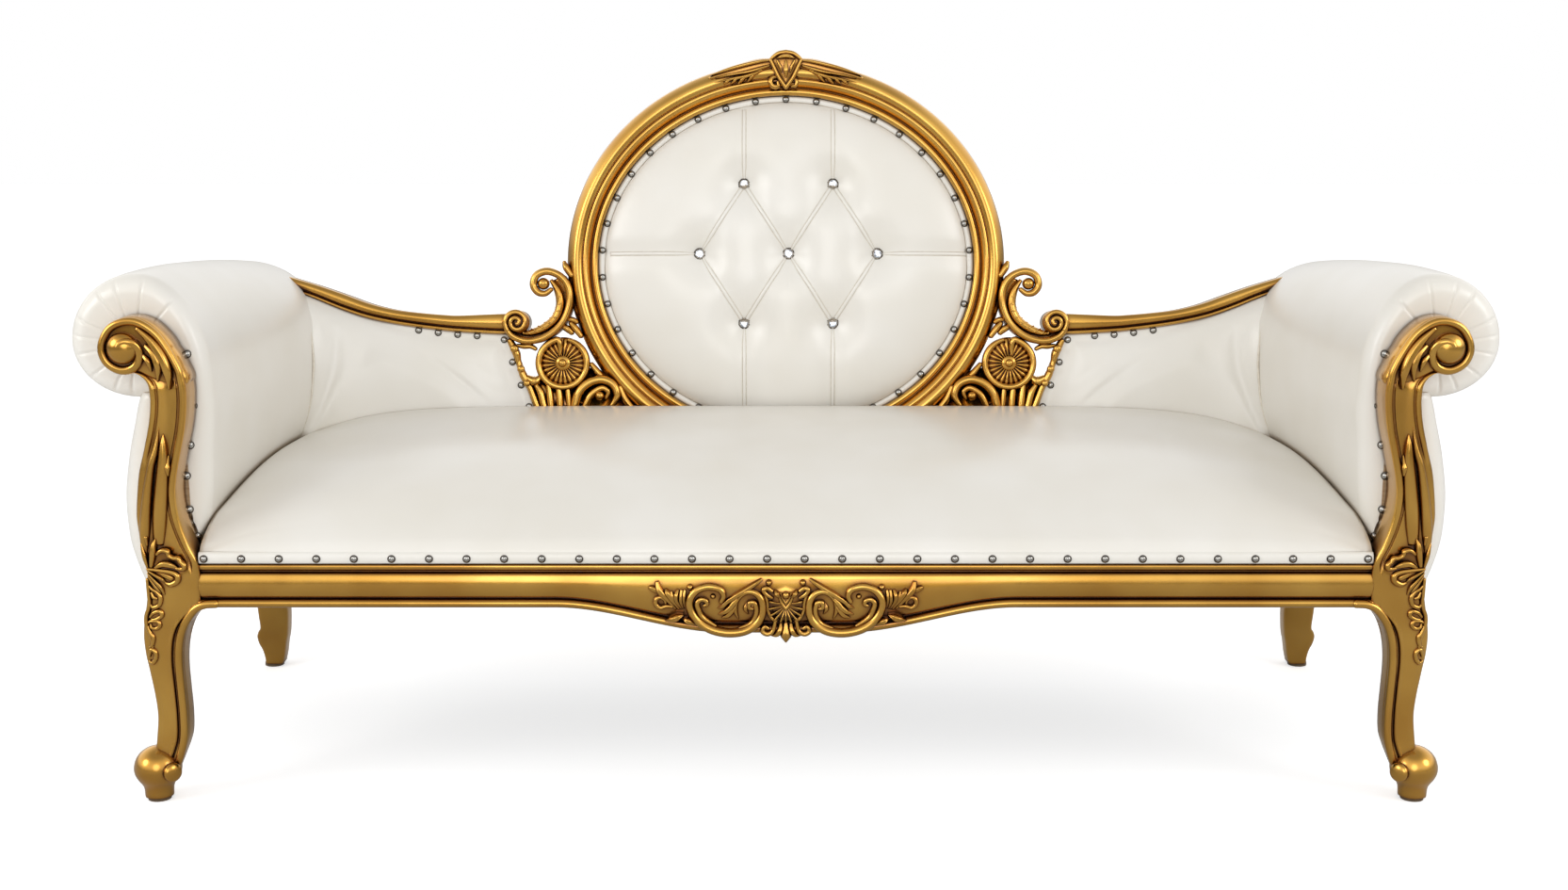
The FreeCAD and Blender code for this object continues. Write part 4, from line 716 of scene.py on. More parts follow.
def post_section(z):
    """One level loop round the leg or post: beads and grooves in front, flat sides and back."""
    inner = along(POST_INNER, z)
    outer = along(POST_OUTER, z)
    face = along(POST_FACE, z) + 3.0 * ease(550, 570, z)
    rear = along(POST_REAR, z)
    width = outer - inner
    post = ease(304, 324, z)
    leg = 1 - ease(236, 256, z)
    front = []
    for k in range(9):
        angle = math.pi * k / 8
        bead = BEAD - BEAD * math.sin(angle)
        plain = 2.0 + 3.0 * max(0.0, math.cos(angle)) ** 2
        front.append((BEAD - BEAD * math.cos(angle), plain + (bead - plain) * post))
    groove = 1.6 + 4.0 * max(post, leg)
    start = 2 * BEAD + 2.6
    front += [(2 * BEAD + 0.5, 0.75 * groove + 0.4), (2 * BEAD + 1.4, groove), (start, 0.7 * groove + 0.4)]
    end = width - 10
    for k in range(1, 19):
        t = (k / 19) ** 1.4
        inset = start + (end - start) * t
        post_cut = 3.4 + 2.6 * math.sin(math.pi * t)
        ridge = 1.7 * math.exp(-(((inset - start - 2.6) / 1.9) ** 2)) * leg
        leg_cut = 2.8 - 2.0 * math.sin(math.pi * min(1.0, 0.12 + 0.6 * t)) - ridge
        front.append((inset, leg_cut + (post_cut - leg_cut) * post))
    tail = post * ease(446, 484, z)
    post_tail = [(10, 4.0), (9.2, 5.2), (8.3, 4.6)]
    leg_tail = [0.9, 1.1, 1.4]
    for k in range(9):
        angle = math.pi * k / 8
        post_tail.append((4 + 4 * math.cos(angle), 4.6 - 4 * math.sin(angle)))
        leg_tail.append(10.5 - 8.9 * math.sqrt(max(0.0, 1 - ((k + 0.5) / 8.5) ** 2)))
    for (inset, cut), soft in zip(post_tail, leg_tail):
        soft += 2.6 * post
        front.append((width - inset, soft + (cut - soft) * tail))
    loop = [(-(inner + a), face + cut, z) for a, cut in front]
    for share in (0.35, 0.7, 0.93):
        loop.append((-outer, face + 19 + (rear - face - 19) * share, z))
    loop.append((-(outer - 4), rear, z))
    loop.append((-(inner + 4), rear, z))
    for share in (0.93, 0.7, 0.35):
        loop.append((-inner, face + 6 + (rear - face - 6) * share, z))
    return loop


def leg_bead(shape):
    """The bead that leaves the rail's lower edge and runs down the leg's inner edge to the foot."""
    rows = [
        (742, 266, 5.6), (756, 265, 5.6), (768, 260, 5.6), (777, 250, 5.6), (786, 235, 5.6),
        (792, 215, 5.6), (794.5, 187, 5.6), (793, 144, 5.6), (791.5, 115, 5.6), (792, 86, 5.6),
        (798, 60, 5.2), (806, 42, 4.6), (816, 28, 3.0),
    ]
    lift = [POST_FRONT - along(POST_FACE, z) for side, z, radius in rows]
    shape.tube(rows, sides=14, level=POST_FRONT + 4.6, lift=lift)


def scroll_plate(shape):
    """The flat ground of the arm scroll, with its rounded edge and its sides."""
    radius_at = [
        (0, 60), (26, 50.5), (57, 45), (84, 41), (116, 37), (150, 33.5), (184, 33.5), (220, 33),
        (260, 32.5), (290, 33), (304, 38), (318, 64), (329, 88), (343, 74), (360, 60),
    ]
    rows = []
    profile = [
        (0.02, 4.0), (0.5, 5.0), (0.8, 5.5), (0.96, 6.0), (1.0, 9.0), (1.0, 25.0), (1.0, 47.0),
        (0.97, 50.0), (0.02, 50.0),
    ]
    for share, depth in profile:
        row = []
        for k in range(120):
            degrees = 3 * k
            reach = along(radius_at, degrees) * share
            angle = math.radians(degrees)
            row.append((
                -(SCROLL[0] - reach * math.cos(angle)),
                POST_FRONT + depth,
                SCROLL[1] + reach * math.sin(angle),
            ))
        rows.append(row)
    shape.grid(rows, around=True, caps=True)


def scroll_bead(shape):
    """The post's inner bead, which winds over the top of the scroll and up on to its domed eye."""
    rows = [(along(POST_INNER, z) + 5, z, 5.0) for z in range(420, 579, 13)]
    lift = [0.0] * len(rows)
    turns = [
        (0, 54.5, 5.2, 0), (26, 45.5, 5.2, 0), (57, 40, 5.2, 0), (84, 36, 5.2, 0), (116, 32, 5.2, 0),
        (150, 28.5, 5.2, 0), (184, 28, 5.4, 0), (220, 27.5, 5.6, 0), (260, 26.8, 5.8, 0),
        (298, 25.5, 6.2, 0), (335, 22.0, 6.4, 0.6), (365, 18.5, 6.2, 2.8), (395, 15.5, 5.6, 6.6),
        (425, 12.5, 4.8, 9.3), (455, 9.5, 4.0, 11.4), (485, 6.5, 3.0, 13.0),
    ]
    for degrees, reach, radius, rise in turns:
        angle = math.radians(degrees)
        rows.append((SCROLL[0] - reach * math.cos(angle), SCROLL[1] + reach * math.sin(angle), radius))
        lift.append(rise)
    shape.tube(rows, steps=5, sides=18, level=POST_FRONT + 5, lift=lift)
    shape.dome((-SCROLL[0] - 1, POST_FRONT + 4, SCROLL[1] + 2), (0, -1, 0), 20.5, 14.0, rings=10, sides=40)


def throat_carving(shape):
    """Leaves in the scroll's throat and down the post's face."""
    ground = POST_FRONT + 6
    throat = [
        [(822, 628, 3, 5), (805, 612, 6, 10), (792, 592, 7.5, 12), (785, 570, 6.5, 11), (785, 549, 1.5, 4)],
        [(813, 606, 3, 5), (801, 594, 6, 11), (796, 578, 6, 12), (799, 560, 1.5, 4)],
        [(816, 594, 3, 6), (808, 584, 4.5, 10), (806, 572, 1.2, 4)],
    ]
    for rows in throat:
        shape.leaf(rows, ground, vein=0.12)
    face = [
        [
            (801.5, 500, 0.4, 2), (807.5, 470, 4.4, 7), (814.5, 447, 5.4, 9), (822.5, 405, 7.0, 9),
            (828, 362, 7.4, 8), (829, 332, 4, 4),
        ],
        [
            (796.5, 491, 0.4, 2), (797.5, 478, 4.5, 6), (799, 455, 7.6, 8), (803, 421, 9.6, 8),
            (807.7, 383, 10, 7.5), (812, 345, 7, 4),
        ],
    ]
    for rows in face:
        shape.leaf(rows, ground, vein=0.0)
    husk = [(790.5, 463, 1.0), (792, 453, 2.5), (793, 446, 4.0), (792.8, 438, 1.8)]
    shape.tube(husk, level=POST_FRONT + 2)


def knee_carving(shape):
    """Acanthus over the knee: a ruffled leaf, a spoon-shaped lobe and husks down the outer edge."""
    ground = POST_FRONT + 4
    lobes = [
        [(826.5, 315, 2, 4), (829.2, 330, 3.6, 7), (832, 344, 2.2, 5), (832.6, 350, 0.5, 3)],
        [(821.9, 316, 3, 5), (818.7, 333, 5, 9), (816.7, 346, 4, 8), (813.8, 354, 1, 4)],
        [(817, 315, 2.5, 5), (807, 320, 5, 7), (796, 319, 5, 8), (786, 314, 2, 5)],
        [(815, 309, 2, 4), (803, 305, 4.5, 7), (795, 301, 4.5, 7), (793, 298, 1, 4)],
        [(827, 312, 1.5, 5), (817, 306.6, 2.6, 9), (808, 301, 2.8, 9), (802, 294.5, 1, 4)],
        [(827, 308.5, 1.5, 5), (817.5, 299, 3, 9), (810, 289.6, 3.4, 9), (806.3, 279.5, 1.5, 5)],
        [(826.6, 304.7, 1.5, 5), (818.8, 293.4, 2.8, 8), (812.8, 285.8, 2.8, 8), (810, 281, 0.8, 4)],
    ]
    for lobe in lobes:
        shape.leaf(lobe, ground, vein=0.12)
    curls = [
        [(825, 346, 1.6), (826, 356, 2.8)],
        [
            (813.5, 333.9, 2.4), (806.8, 338.6, 3.0), (799.3, 337.1, 3.4), (798.1, 332.0, 3.0),
            (792, 328.5, 3.0), (786.2, 328, 3.4), (783.1, 323.6, 3.4), (778.3, 318.9, 3.8),
            (780.4, 314.2, 3.6), (788.2, 314.5, 2.6),
        ],
        [
            (826.6, 313.8, 2.0), (811, 311.9, 3.0), (797, 310, 3.6), (788.5, 305.7, 4.2),
            (788.7, 298.1, 4.4), (796.8, 293.5, 4.0), (803, 295.3, 2.4),
        ],
        [
            (826.2, 291.5, 2.0), (821.9, 286.8, 2.6), (815.8, 283, 3.0), (811.6, 275.4, 3.4),
            (814.1, 265.9, 3.4), (821.6, 262.7, 3.0), (825.4, 266, 2.0),
        ],
        [(823.1, 282, 2.2), (820.7, 276.4, 3.0), (816.3, 274.5, 2.2)],
        [
            (827, 249.8, 2.0), (822.1, 255.1, 2.8), (813.7, 257.4, 3.4), (811.3, 251.7, 3.4),
            (818, 246.9, 3.0), (824.5, 246, 2.0),
        ],
        [
            (829.3, 242.2, 2.0), (824.6, 244.1, 2.6), (817.3, 243.7, 3.0), (814.9, 238.3, 3.2),
            (819.7, 234.1, 3.0), (826, 235.5, 2.6), (826.7, 239.3, 2.0),
        ],
        [
            (831.4, 238.3, 2.0), (828.3, 228.8, 2.8), (824.2, 221.2, 3.0), (826.6, 211.6, 2.6),
            (830.1, 208.7, 1.6),
        ],
        [
            (831, 197, 2.0), (828, 205.5, 3.0), (823, 202, 3.2), (822.5, 194.3, 3.2), (827, 187.6, 3.0),
            (831, 189.5, 2.0),
        ],
        [
            (827.5, 300, 2.4), (826.9, 280, 2.6), (826.9, 265, 2.6), (831.8, 251.7, 2.8),
            (832.3, 238.3, 2.8), (828.5, 225, 2.4), (826, 210, 2.0), (829, 200, 1.6),
        ],
    ]
    for rows in curls:
        shape.tube(rows, steps=5, sides=10, level=ground - 3, flat=1.3)


def ball_foot(shape):
    """The turned ball foot and the small boss on its face."""
    profile = [
        (18.4, 4.8), (18.6, 9), (18.9, 14), (20.0, 19), (22.8, 24), (26.4, 29), (29.4, 35), (30.8, 41),
        (30.4, 48), (27.8, 56), (23, 63), (15, 69), (6, 72.4), (0.3, 73),
    ]
    shape.lathe([row[:2] for row in smooth(profile, 3)], 830, -305)
    shape.dome((-805.5, -325, 43.5), (0.72, -0.68, 0.06), 12.6, 5.0, rim=3.0)


def make_front_legs():
    """Each leg with its arm post, carving and ball foot, as one carved piece."""
    shape = Shape()
    shape.grid([post_section(z) for z in POST_LEVELS], around=True, caps=True)
    leg_bead(shape)
    scroll_plate(shape)
    scroll_bead(shape)
    throat_carving(shape)
    knee_carving(shape)
    ball_foot(shape)
    build_pair("carved_leg", shape, GILT, ["front_leg", "knee_carving"])


def make_rear_legs():
    """Raked rear legs: a tapered foot with an ear on its outer side, and the stile inside the arm."""
    levels = [
        (4.8, 809, 837, 280, 34), (18, 805.5, 838.5, 279, 35), (30, 803, 841, 276.5, 36),
        (41, 800.5, 845, 273, 36), (53, 797, 846, 268.5, 37), (62, 795, 843, 265, 37),
        (70, 793.5, 838.5, 261.5, 37), (92, 790.5, 838, 254, 37), (110, 790, 838, 249, 37),
        (150, 791, 837, 238, 38), (200, 794, 836, 226, 40), (258, 796, 836, 214, 44),
        (420, 796, 836, 237, 44), (612, 796, 836, 264, 44),
    ]
    shape = Shape()
    rows = []
    for z, inner, outer, middle, depth in smooth(levels, 5):
        loop = []
        for k in range(28):
            angle = 2 * math.pi * (k + 0.5) / 28
            across = math.copysign(abs(math.cos(angle)) ** 0.35, math.cos(angle))
            deep = math.copysign(abs(math.sin(angle)) ** 0.35, math.sin(angle))
            loop.append((-(inner + outer) / 2 + (outer - inner) / 2 * across, middle + depth / 2 * deep, z))
        rows.append(loop)
    shape.grid(rows, around=True, caps=True)
    build_pair("shaped_rear_leg", shape, GILT, ["rear_leg"])


# Front rail and its carving

# How much wider and higher the apron's leaves are carved than the rows below say
LEAF_WIDEN = 1.35
LEAF_RAISE = 1.3

# Depth of the ground under the apron's carving, and the rail's steps along its length
APRON_GROUND = RAIL_FRONT + 1
RAIL_STEPS = 190


def apron_low(x):
    """Height of the front rail's lower edge."""
    reach = abs(x)
    return 260.0 - 34.0 * (1 - ease(78, 300, reach))


def rail_section(x):
    """One upright loop through the moulded front rail."""
    low = apron_low(x)
    loop = []
    for k in range(9):
        angle = math.pi * k / 8
        loop.append((x, RAIL_FRONT + 4 - 4.5 * math.sin(angle), RAIL_TOP - 4.5 + 4.5 * math.cos(angle)))
    loop += [(x, RAIL_FRONT + 6, 309.2), (x, RAIL_FRONT + 6.6, 308.0), (x, RAIL_FRONT + 5.6, 307.2)]
    top = 307.0
    bottom = low + 14.5
    for k in range(17):
        t = k / 16
        swell = 8.0 * math.sin(math.pi * min(1.0, 0.12 + 0.7 * t)) ** 0.8 if t > 0 else 1.0
        loop.append((x, RAIL_FRONT + 5.2 - swell, top + (bottom - top) * t))
    loop += [
        (x, RAIL_FRONT + 5.4, low + 13.6), (x, RAIL_FRONT + 5.8, low + 12.8),
        (x, RAIL_FRONT + 5.0, low + 12.2),
    ]
    for k in range(11):
        angle = math.pi * k / 10
        loop.append((x, RAIL_FRONT + 4 - 8 * math.sin(angle), low + 6 + 6 * math.cos(angle)))
    loop += [
        (x, RAIL_FRONT + 22, low), (x, POST_BACK, low), (x, POST_BACK, 290), (x, POST_BACK, RAIL_TOP),
        (x, -280, RAIL_TOP),
    ]
    return loop


def apron_half(shape):
    """The left half of the apron's carving: a C-scroll, acanthus, a spray and half a shell."""
    ground = APRON_GROUND
    scroll = [
        (84.3, 270, 3.0), (81, 278, 4.0), (85.5, 286.5, 4.6), (95.9, 290, 5.0), (106.2, 289.4, 5.0),
        (116.6, 284.7, 5.2), (123.8, 275.3, 5.4), (125.2, 264.6, 5.6), (120.8, 252.5, 5.8),
        (111.8, 241.7, 6.0), (98.9, 233.6, 6.2), (83.3, 229.2, 6.4), (67.7, 228.4, 6.4), (52, 231.5, 6.2),
        (39, 239.7, 6.0), (31.6, 251.1, 5.6), (30.1, 263.2, 5.2), (32.4, 274, 5.0), (38.9, 281.4, 4.6),
        (48, 283.7, 4.2), (55.7, 280.7, 3.6), (61.6, 274, 2.4),
    ]
    shape.tube(scroll, level=ground - 6, flat=1.2, sides=14)
    volutes = [
        [
            (92, 237.5, 2.4), (107.9, 248.4, 3.6), (113.6, 259.2, 4.0), (115.5, 267.9, 4.0),
            (110.2, 273.3, 3.8), (103.8, 271.3, 3.4), (102.5, 266.6, 3.0), (106.4, 264.6, 2.2),
        ],
        [
            (60, 234.5, 2.4), (45.5, 240.5, 3.6), (39.2, 250.5, 4.0), (38, 260.5, 4.0), (41, 268.6, 4.0),
            (47, 268.5, 3.8), (47.5, 262, 3.4), (43, 260.5, 2.6),
        ],
    ]
    for rows in volutes:
        shape.tube(rows, level=ground - 6, flat=1.2)
    for side, z, reach in ((94.7, 276.7, 4.0), (43.5, 264.6, 4.6), (124.4, 288.8, 4.4), (22.0, 294.8, 4.4)):
        shape.dome((-side, ground - 2, z), (0, -1, 0), reach, 1.4 * reach)
    leaves = [
        [
            (31, 299.5, 1.5, 4), (39, 294, 2.6, 7), (49, 287.4, 3.2, 8), (60, 280.7, 3.4, 9),
            (70, 274, 3.4, 8), (77, 269, 3.2, 7), (83, 263, 2.8, 6), (89.6, 260.5, 0.6, 3),
        ],
        [
            (55.7, 280, 2, 5), (66, 270, 3.6, 8), (72.7, 261.2, 3.8, 8), (80.5, 255, 3, 6),
            (88.3, 252.2, 0.6, 3),
        ],
        [(64, 270, 2, 5), (68.8, 260, 3.4, 7), (75.4, 251, 3.2, 6), (83.8, 247.7, 0.6, 3)],
        [(59, 278.7, 2, 5), (65, 268.6, 3.2, 7), (66, 258, 3.2, 6), (61.7, 245.7, 0.8, 3)],
        [(49.3, 270, 1.5, 4), (52.6, 260.5, 3, 6), (48.7, 252.5, 1, 3)],
        [(142.8, 259, 1.5, 4), (155.6, 275, 3.4, 8), (164.6, 285.4, 4, 9), (167.5, 297, 2.2, 6)],
        [(162, 280.7, 2, 5), (171, 286.5, 3.4, 8), (178, 288.8, 2.2, 5)],
        [(138.3, 259, 1.5, 4), (148, 272.6, 3, 8), (154, 282, 3.4, 9), (156.5, 287, 1.6, 5)],
        [(139, 263, 1.5, 4), (146.5, 275.3, 2.6, 8), (149, 284, 1.8, 6)],
        [(135.7, 260, 1.5, 4), (142, 271, 2.8, 8), (142.4, 279.4, 3, 9), (140, 286, 1.6, 5)],
        [(133.5, 260, 1.5, 4), (136.8, 272.6, 2.6, 8), (135.4, 286, 2, 6)],
        [(131, 260.5, 1.5, 4), (132.6, 274, 2.4, 8), (131, 286, 2, 6)],
        [(157, 245, 0.6, 6), (148, 247, 4, 12), (140.3, 250, 4, 12), (133, 253, 1, 7)],
        [(134.5, 249, 0.8, 7), (127, 244.4, 4, 12), (117, 239, 1.5, 7)],
        [(5.2, 274, 1.5, 5), (11.7, 280.7, 3.2, 10), (14.5, 286, 1, 5)],
        [(6.5, 241.7, 1.5, 5), (7.8, 232, 3.4, 9), (12.4, 225.5, 3.2, 8), (19.5, 223.8, 0.8, 4)],
    ]
    for rows in leaves:
        bold = [(side, z, LEAF_WIDEN * half, LEAF_RAISE * height) for side, z, half, height in rows]
        shape.leaf(bold, ground, vein=0.15)
    curls = [
        [
            (148, 263.2, 2.0), (155.8, 263.9, 2.8), (162.9, 261.9, 3.0), (168.7, 265.9, 3.2),
            (168.6, 272.6, 3.2), (163.4, 276, 3.0), (157.6, 272.6, 2.6), (156.4, 267.9, 2.0),
        ],
        [(18, 275.3, 2.4), (25.3, 279.4, 3.4), (29.2, 285.4, 3.8), (24.6, 288, 3.6), (18, 284, 2.6)],
        [(29, 283, 2.2), (24.5, 270, 2.8), (23.4, 258, 2.8), (18.2, 247.5, 2.6), (12.4, 244, 2.0)],
        [
            (13.7, 247.1, 2.4), (15, 237.6, 3.0), (17.6, 229.5, 3.6), (24.7, 226.5, 3.8),
            (30.6, 230.2, 3.6), (28, 236.3, 3.2), (22.8, 233.6, 2.4),
        ],
        [(8.4, 276, 2.2), (5.2, 267.3, 2.4), (0, 259.9, 2.4)],
        [(6.8, 281, 1.8), (3.4, 272.6, 2.0), (0, 267.3, 2.0)],
    ]
    for rows in curls:
        shape.tube(rows, steps=5, sides=10, level=ground - 5, flat=1.3)
    flutes = [
        ((5.2, 267.3), (20.5, 270)), ((5.2, 264.6), (21.8, 260.5)), ((3.9, 261.9), (19.8, 251.8)),
        ((2.6, 260.5), (14.5, 245.7)), ((1.3, 259.2), (6.8, 243.7)),
    ]
    for base, tip in flutes:
        middle = ((tip[0] + base[0]) / 2, (tip[1] + base[1]) / 2)
        end = (tip[0] * 1.06, tip[1] - 1.5)
        flute = [(*base, 1.0, 6), (*middle, 1.8, 9), (*tip, 2.3, 9), (*end, 0.6, 5)]
        shape.leaf(flute, ground - 1, vein=0.1)


def make_front_rail():
    """The moulded rail, and the apron's carving from a left half, its mirror image and a middle shell."""
    shape = Shape()
    reach = RAIL_END + 4
    stations = [-reach + 2 * reach * k / RAIL_STEPS for k in range(RAIL_STEPS + 1)]
    shape.grid([rail_section(x) for x in stations], around=True, caps=True)
    rail = build("moulded_rail", shape, GILT_BOLD)
    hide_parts("front_rail", "apron_bead")
    carving = Shape()
    apron_half(carving)
    carving.twin()
    shell = [(0, 292, 4, 2), (0, 284, 20, 5), (0, 270, 23, 6), (0, 255, 20, 6), (0, 244, 9, 4)]
    carving.leaf(shell, APRON_GROUND, vein=0.0)
    carving.dome((0, APRON_GROUND - 6, 279), (0, -1, 0), 5.2, 6)
    flute = [(0, 259, 1, 6), (0, 251, 1.8, 9), (0, 244, 2.2, 8), (0, 241, 0.6, 5)]
    carving.leaf(flute, APRON_GROUND - 1, vein=0.1)
    drop = [(0, 243, 2.5, 6), (0, 234, 5, 10), (0, 224, 8, 12), (0, 214.5, 1.5, 6)]
    carving.leaf(drop, APRON_GROUND, vein=0.2)
    piece = build("carved_apron", carving, GILT_BOLD)
    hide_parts("apron_carving")


# Medallion ring and crest

RING_STEPS = 240
CREST_GROUND = -21.0


def ring_profile():
    """Pairs of share across the ring and depth, from the outer edge over the face to the rebate."""
    profile = [(0.0, 25.0), (0.0, 8.0), (0.0, -6.0)]
    for k in range(1, 18):
        t = k / 17
        profile.append((0.49 * t, -6.0 - 18.5 * math.sin(math.pi * min(1.0, 0.02 + 0.68 * t)) ** 0.8))
    profile += [(0.496, -19.4), (0.506, -18.4), (0.516, -19.2)]
    for k in range(1, 12):
        t = k / 11
        swell = 2.4 * math.sin(math.pi * min(1.0, 0.05 + 1.1 * t))
        profile.append((0.52 + 0.24 * t, -19.4 - swell + 7.0 * t**2.4))
    profile += [(0.767, -10.6), (0.778, -9.8), (0.79, -10.2)]
    for k in range(11):
        angle = math.pi * k / 10
        profile.append((0.895 - 0.105 * math.cos(angle), -10.0 - 5.6 * math.sin(angle)))
    profile += [(1.0, -6.0), (1.0, 8.0), (0.8, 8.0), (0.8, 25.0)]
    return profile


def oval(share, angle, y, shrink=0.0):
    """A point of the upright medallion; share runs from the ring's outer edge to its inner edge."""
    across = RING_OUTER[0] + (RING_INNER[0] - RING_OUTER[0]) * share - shrink
    rise = RING_OUTER[1] + (RING_INNER[1] - RING_OUTER[1]) * share - shrink
    z = RING_MIDDLE + rise * math.sin(angle)
    return (across * math.cos(angle), y, max(z, REAR_RAIL_TOP + 0.3))


def make_ring():
    """The moulded oval frame of the back."""
    shape = Shape()
    rows = []
    for k in range(RING_STEPS):
        angle = 2 * math.pi * k / RING_STEPS
        rows.append([oval(share, angle, y) for share, y in ring_profile()])
    shape.grid(rows, around=True, ring=True)
    piece = build("moulded_ring", shape.lean(), GILT_FINE)
    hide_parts("medallion_frame")


def crest_shield(shape):
    """The crest's solid middle: a domed cap over a V."""
    corners = [
        (0, 974.5), (11, 971.5), (19, 966), (24, 960.5), (18, 947.5), (10.5, 933.5), (0, 918.5),
        (-10.5, 933.5), (-18, 947.5), (-24, 960.5), (-19, 966), (-11, 971.5), (0, 974.5),
    ]
    outline = smooth(corners, 4)[:-1]
    middle = 953
    rows = []
    for share, y in ((0.02, -7.0), (0.4, -6.5), (0.7, -6.0), (0.9, -4.5), (1.0, -1.0), (1.0, 10.0)):
        rows.append([(x * share, CREST_GROUND + y, middle + (z - middle) * share) for x, z in outline])
    shape.grid(rows, around=True, caps=True)


def make_crest():
    """A bud in a V-shaped collar, with a blade and a lobed leaf on each side."""
    ground = CREST_GROUND
    shape = Shape()
    blade = [(18, 957, 8, 8), (40, 953, 11, 10), (64, 947, 11, 10), (90, 940, 9, 9), (118, 934, 2, 4)]
    shape.leaf(blade, ground + 4, vein=0.0)
    leaves = [
        [
            (22, 960.5, 2.5, 6), (34, 959.5, 3.6, 10), (49, 956.5, 4.2, 11), (72, 951, 4.2, 11),
            (95, 944.5, 3.2, 8), (116, 938, 0.5, 4),
        ],
        [
            (24, 953, 2.5, 6), (41, 947.5, 4.0, 10), (57, 943, 4.2, 10), (73, 940.5, 3.4, 9),
            (90, 937.5, 2.6, 8), (108, 933.5, 0.5, 4),
        ],
        [
            (36, 946, 2, 6), (50, 939.5, 3.6, 11), (64, 935.5, 3.6, 11), (84, 932, 3.0, 9),
            (109, 927, 0.6, 4),
        ],
        [(46, 941, 2, 6), (53, 935, 3.4, 10), (59, 928.5, 1, 4)],
        [(59, 937.5, 2, 6), (67, 931.5, 3.4, 10), (73.5, 925.5, 1, 4)],
        [(71, 935, 2, 6), (78, 930.5, 3.2, 10), (84, 925.5, 1, 4)],
        [(83, 932.5, 2, 6), (90, 928.5, 3.0, 9), (95.5, 924.5, 0.8, 4)],
    ]
    for rows in leaves:
        shape.leaf(rows, ground, vein=0.0)
    bars = [
        (6, [(23, 960, 3.0), (17, 947, 3.2), (11, 935, 3.2), (5, 926, 3.2), (0, 919.5, 3.2)]),
        (4, [(24, 961, 2.4), (19, 966, 3.0), (11, 971, 3.6), (0, 973, 3.8)]),
        (7, [(13, 960, 1.6), (9, 951.5, 2.6), (6.5, 943, 1.4)]),
    ]
    for lift, rows in bars:
        shape.tube(rows, level=ground - lift, flat=1.3)
    shape.twin()
    crest_shield(shape)
    cap = [(-15, 962.5, 0.5, 8), (-8, 965, 4, 13), (0, 966.5, 5, 14), (8, 965, 4, 13), (15, 962.5, 0.5, 8)]
    shape.leaf(cap, ground, vein=0.0)
    bud = [(0, 959, 1.8), (0, 952, 3.4), (0, 944, 4.4), (0, 935, 1.6)]
    shape.tube(bud, level=ground - 8, flat=1.3, sides=16)
    curls = [
        [
            (12, 935.5, 2.4), (19, 935, 3.4), (23.5, 929, 4.2), (20, 922, 4.2), (12, 921.5, 3.6),
            (12, 928, 3.0),
        ],
        [(-11, 933, 2.0), (-16, 930, 3.0), (-15, 923, 3.0), (-9, 922, 2.0)],
    ]
    for rows in curls:
        shape.tube(rows, level=ground - 3, flat=1.2)
    piece = build("carved_crest", shape.lean(), GILT)
    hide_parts("crest_carving")


# Wing rails and spandrels

# The wing rail's middle line, as (side, z, half its height), the middle of its volute, and the depth of the
# spandrels' ground
WING_RAIL = [
    (420, 559, 16), (432, 559, 16), (459, 559, 15), (504, 559.5, 12.8), (527, 561, 12.2), (566, 565, 11.5),
    (605, 570.5, 11), (644, 579.5, 11.5), (683, 593, 12), (722, 607.5, 11), (765, 621.5, 10),
    (802, 634, 9),
]
WING_LINE = smooth(WING_RAIL, 6)
VOLUTE = (414.0, 562.0)
SPANDREL_LEVEL = -18.0


def wing_rail_profile(half):
    """The wing rail's stepped section, as pairs of height over its middle line and depth."""
    profile = [(half, 6.0), (half, -14.0)]
    for k in range(11):
        t = k / 10
        swell = 8.0 * math.sin(math.pi * (0.10 + 0.72 * t)) ** 0.8
        profile.append((half - 0.4 - (2 * half - 8.8) * t, -16.0 - swell))
    profile += [(8.1 - half, -17.0), (7.5 - half, -17.0)]
    for k in range(9):
        t = k / 8
        profile.append((7.3 - half - 7.3 * t, -17.5 - 5.5 * math.sin(math.pi * t) ** 0.8))
    profile += [(-half, -8.0), (-half, 23.0), (half, 23.0)]
    return profile


def volute(shape):
    """The wing rail's round end: a core with a bead that winds in over it."""
    rows = []
    lift = []
    for k in range(29):
        angle = math.radians(-40 + 23 * k)
        reach = 18.4 * (1 - k / 33)
        radius = 4.6 - 1.4 * k / 28
        rows.append((VOLUTE[0] + reach * math.cos(angle), VOLUTE[1] + reach * math.sin(angle), radius))
        lift.append(6.0 * k / 28)
    shape.tube(rows, steps=3, level=-24, lift=lift, flat=1.2)
    core = []
    for share, depth in ((0.05, -26.0), (0.5, -24.0), (1.0, -22.0), (1.0, 22.0)):
        row = []
        for k in range(30):
            angle = math.radians(12 * k)
            across = 18 * share * math.cos(angle)
            row.append((-(VOLUTE[0] + across), depth, VOLUTE[1] + 18 * share * math.sin(angle)))
        core.append(row)
    shape.grid(core, around=True, caps=True)


def make_wing_rails():
    """A stepped moulding along the wing's top, which ends behind a volute by the spandrel."""
    shape = Shape()
    rows = []
    for index, (side, z, half) in enumerate(WING_LINE):
        across, up = heading(WING_LINE, index)
        profile = wing_rail_profile(half)
        rows.append([(-(side - up * rise), y, z + across * rise) for rise, y in profile])
    shape.grid(rows, around=True, caps=True)
    volute(shape)
    build_pair("wing_moulding", shape.lean(), GILT, ["wing_rail"])


